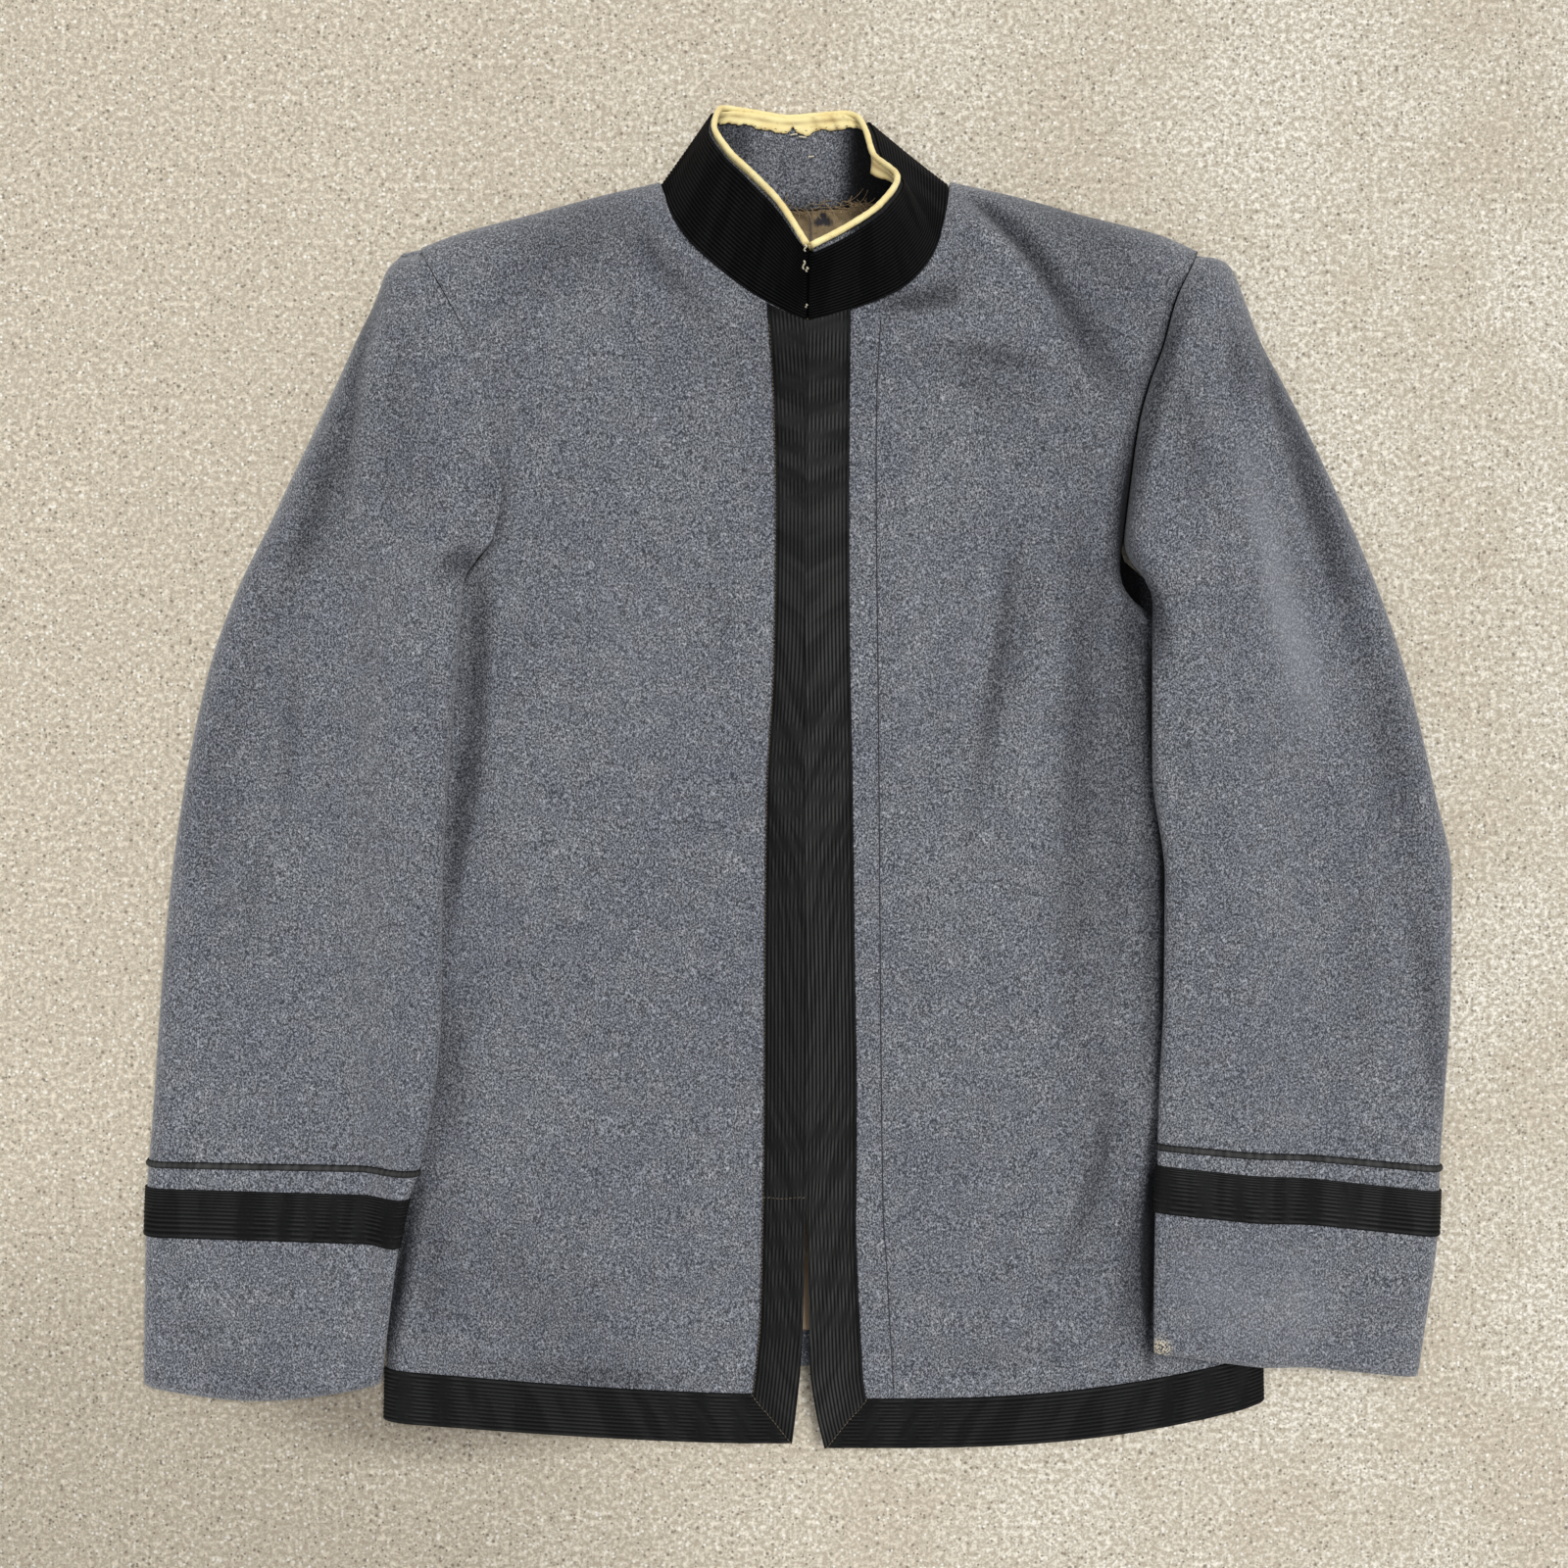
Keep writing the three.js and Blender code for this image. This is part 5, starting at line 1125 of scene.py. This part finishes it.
yellow, tree, shader = new_material("pale yellow cotton")
where = tree.coords("Object")
fade = tree.span(tree.noise(where, 90, 3, 0.6), 0.35, 0.7)
weave = tree.waves(tree.coords("UV"), 520, 1.5)
tone = tree.blend(fade, srgb(255, 239, 174), srgb(246, 222, 152))
tone = tree.blend(tree.span(tree.noise(where, 420), 0.6, 0.74, 0, 0.35), tone, srgb(186, 150, 92))
tone = tree.blend(tree.mark("shade"), tone, srgb(150, 116, 66))
tree.fill(shader, {
    "Base Color": tone, "Roughness": 0.7, "Sheen Weight": 0.2, "Normal": tree.bump(weave, 0.00012, 0.5)})

t, k = np.meshgrid(np.linspace(0, 1, 12), np.linspace(0, COLLAR_END, 260))
waves = ((0.009, 7.1, 0), (0.012, 2.7, 1), (0.007, 17, 0), (0.004, 41, 0))
ragged = 0.868 + sum(size * np.sin(k * pace + phase) for size, pace, phase in waves)
notch = 0.07 * bell(k - 9.08, 0.07) - 0.05 * bell(k - 9.5, 0.3)
w = mixed(np.clip(ragged + notch, 0.79, 0.96), 1.035, t)
points = collar_points(k, w)
loose = bell(k - 14.15, 0.42) * (1 - t)       # the strip has come away and curls inwards here
points = points + loose[..., None] * (-7.5, -5, 1.5)
wrinkle = (0.1 * np.sin(k * 31) + 0.3 * np.sin(k * 57) * bell(k - 10, 0.7)) * (1 - t)
# Painted shade: a dark line under the roll, at the strip's lower edge and at a few places along it.
painted_groove_shade = 0.55 * bell(w - 0.97, 0.022) + 0.5 * bell(t, 0.16)
for depth, at, reach in ((0.5, 9.9, 0.12), (0.35, 10.5, 0.08), (0.3, 14.5, 0.4)):
    painted_groove_shade += depth * bell(k - at, reach)
made = cloth("collar_band_strip", points, -LAYER - 0.9, -LAYER - 0.1 + wrinkle, yellow,
             marks={"shade": np.clip(painted_groove_shade * (0.85 + 0.3 * np.sin(k * 5)), 0, 0.85)})
finish(made, ["collar_band"])


def tube(name, path, radius, sides, material, first):
    """A round bar along a path in mm; first is a direction across it at each point."""
    count = len(path)
    along = unit(np.gradient(path, axis=0))
    u = unit(first - along * np.sum(first * along, axis=1)[:, None])
    v = np.cross(along, u)
    a = np.linspace(0, 2 * np.pi, sides, endpoint=False)[:, None]
    radius = np.broadcast_to(radius, count)[:, None, None]
    rings = path[:, None] + radius * (u[:, None] * np.cos(a) + v[:, None] * np.sin(a))
    k, s = np.meshgrid(np.arange(count - 1) * sides, np.arange(sides), indexing="ij")
    after = (s + 1) % sides
    quads = np.stack([k + s, k + after, k + sides + after, k + sides + s], -1).reshape(-1, 4)
    caps = [list(range(sides))[::-1], list(range((count - 1) * sides, count * sides))]
    run = np.concatenate([[0], np.cumsum(np.linalg.norm(np.diff(path, axis=0), axis=1))]) * 0.001
    flat = np.stack(np.meshgrid(np.arange(sides) / sides * 0.01, run), -1).reshape(-1, 2)
    return solid(name, rings.reshape(-1, 3), quads.tolist() + caps, flat, material)


k = np.linspace(0.02, 17.98, 240)
ridge = collar_points(k, 1.0, short=0)
up = ridge - collar_points(k, 0.5, short=0)
puckered = 1.7 + 0.07 * np.sin(k * 29) + 0.05 * np.sin(k * 11)
made = tube("collar_piping_roll", ridge, puckered, 14, yellow, up)
finish(made, ["collar_piping"])


# ---- Loose threads about the collar ----
# The neck seam inside has frayed: tan threads of the lining stand out along it in short curls. The
# yellow strip is tacked on in brown, and scraps of cream thread are left where stitches have gone.
tan_thread = thread_material("tan lining thread", srgb(112, 92, 64), srgb(176, 150, 112))
cream_thread = thread_material("cream thread", srgb(214, 200, 168), srgb(246, 238, 214))
chance = np.random.default_rng(5)
curls = []
for n in range(60):
    start = np.array([chance.uniform(-10, 42) if n % 3 else chance.uniform(18, 42), 0, 0])
    start[1] = 323.2 + 0.05 * abs(start[0] - 4) + chance.uniform(-1.5, 3.5)
    start[2] = 6.4 + 0.004 * (start[0] - 4) ** 2 + chance.uniform(0, 1.2)
    heading, reach, bend = chance.uniform(-1.0, 0.3), chance.uniform(3, 11), chance.uniform(-0.8, 0.8)
    t = np.linspace(0, 1, 9)
    heading = heading + bend * t * 2
    way = np.stack([np.cos(heading), np.sin(heading), 0.25 * np.sin(3 * t)], -1) * (reach / 8)
    curls.append(start + np.cumsum(way, axis=0))
sew("neck_seam_frayed_threads", curls, tan_thread,
    pitch=0.7, length=1.0, radius=0.2, wobble=0.1)

k = np.linspace(7.2, 11.2, 160)
edge = collar_points(k, 0.885 + 0.01 * np.sin(k * 7))
upwards = collar_points(k, 1.0) - collar_points(k, 0.0)
inner = unit(np.cross(upwards, np.gradient(collar_points(k, 0.9), axis=0)))
inner *= np.sign(np.sum(inner * ((4, 352, 10) - edge), axis=1))[:, None]
sew("collar_band_thread", [edge + inner * (LAYER + 1.0)], brown_thread,
    pitch=5.5, length=1.3, radius=0.17, wobble=0.5)
inside = edge + inner * (LAYER + 1.2)
scraps = [inside[low:high] - (0, drop, 0)
          for low, high, drop in ((72, 80, 2.5), (84, 92, 4), (96, 102, 15))]
for x, at, tall in ((3.6, 0.93, 3.4), (3.0, 0.70, 4.6), (4.6, 0.64, 2.2), (4.6, 0.12, 1.6)):
    t = np.linspace(-1, 1, 9)[:, None]
    low = collar_points(0.0, at, 0)
    edge_way = unit(collar_points(0.0, 1.0, 0) - low) * (0, 1, 1)
    curl = np.concatenate([0.5 * np.sin(2.5 * t), 0 * t, 0 * t], 1)
    scraps.append(low * (0, 1, 1) + (x, 0, LAYER + BRAID + 0.2) + t * tall / 2 * edge_way + curl)
sew("collar_cream_thread", scraps, cream_thread,
    pitch=0.8, length=1.2, radius=0.42, wobble=0.35)


# ---- Hook and eye ----
# A pale wire hook on the right collar edge and an eye on the left close it just behind the edges.
# They are hooked together, sewn on with a few turns of cream thread whose ends hang loose.
metal, tree, shader = new_material("worn pale wire")
worn = tree.span(tree.noise(tree.coords("Object"), 900, 3), 0.35, 0.65)
tree.fill(shader, {
    "Base Color": tree.blend(worn, srgb(170, 158, 126), srgb(214, 206, 184)),
    "Roughness": tree.span(worn, 0, 1, 0.5, 0.3), "Metallic": 1.0})
rise = unit(unit(collar_points(0.0, 1.0, 0) - collar_points(0.0, 0.0, 0)) * (0, 1, 1))
inwards = np.array([0, rise[2], -rise[1]])
hook_at = collar_points(0.0, 0.58, 0) * (0, 1, 1) + (5.4, 0, 0)
WIRES = {
    "collar_eye": table(
        "x up deep",
        (6, 3, 6), (3.4, 2.6, 4.4), (1.6, 2.2, 3.4), (0.5, 1.8, 2.9), (0.1, 1, 2.9), (0.1, -1, 2.9),
        (0.5, -1.8, 2.9), (1.6, -2.2, 3.4), (3.4, -2.6, 4.4), (6, -3, 6)),
    "collar_hook": table(
        "x up deep",
        (-6, 0, 10.8), (-3.4, 0, 7.6), (-1.6, 0, 5.4), (0, 0, 4.3), (0.9, 0, 3.9), (1.2, 0, 3.1),
        (0.9, 0, 2.2), (0.1, 0, 1.7), (-0.7, 0, 2))}
for name, rows in WIRES.items():
    rows = [dict(row, n=n) for n, row in enumerate(rows)]
    at = np.linspace(0, len(rows) - 1, 60)
    x, high, deep = (curve(rows, "n", at, key) for key in ("x", "up", "deep"))
    path = hook_at + np.stack([x, 0 * x, 0 * x], -1) + high[:, None] * rise + deep[:, None] * inwards
    across = np.array([0.3, 0.2, 0.9]) + 0 * path
    made = tube(name + "_wire", path, 0.4, 10, metal, across)
    finish(made, [name])
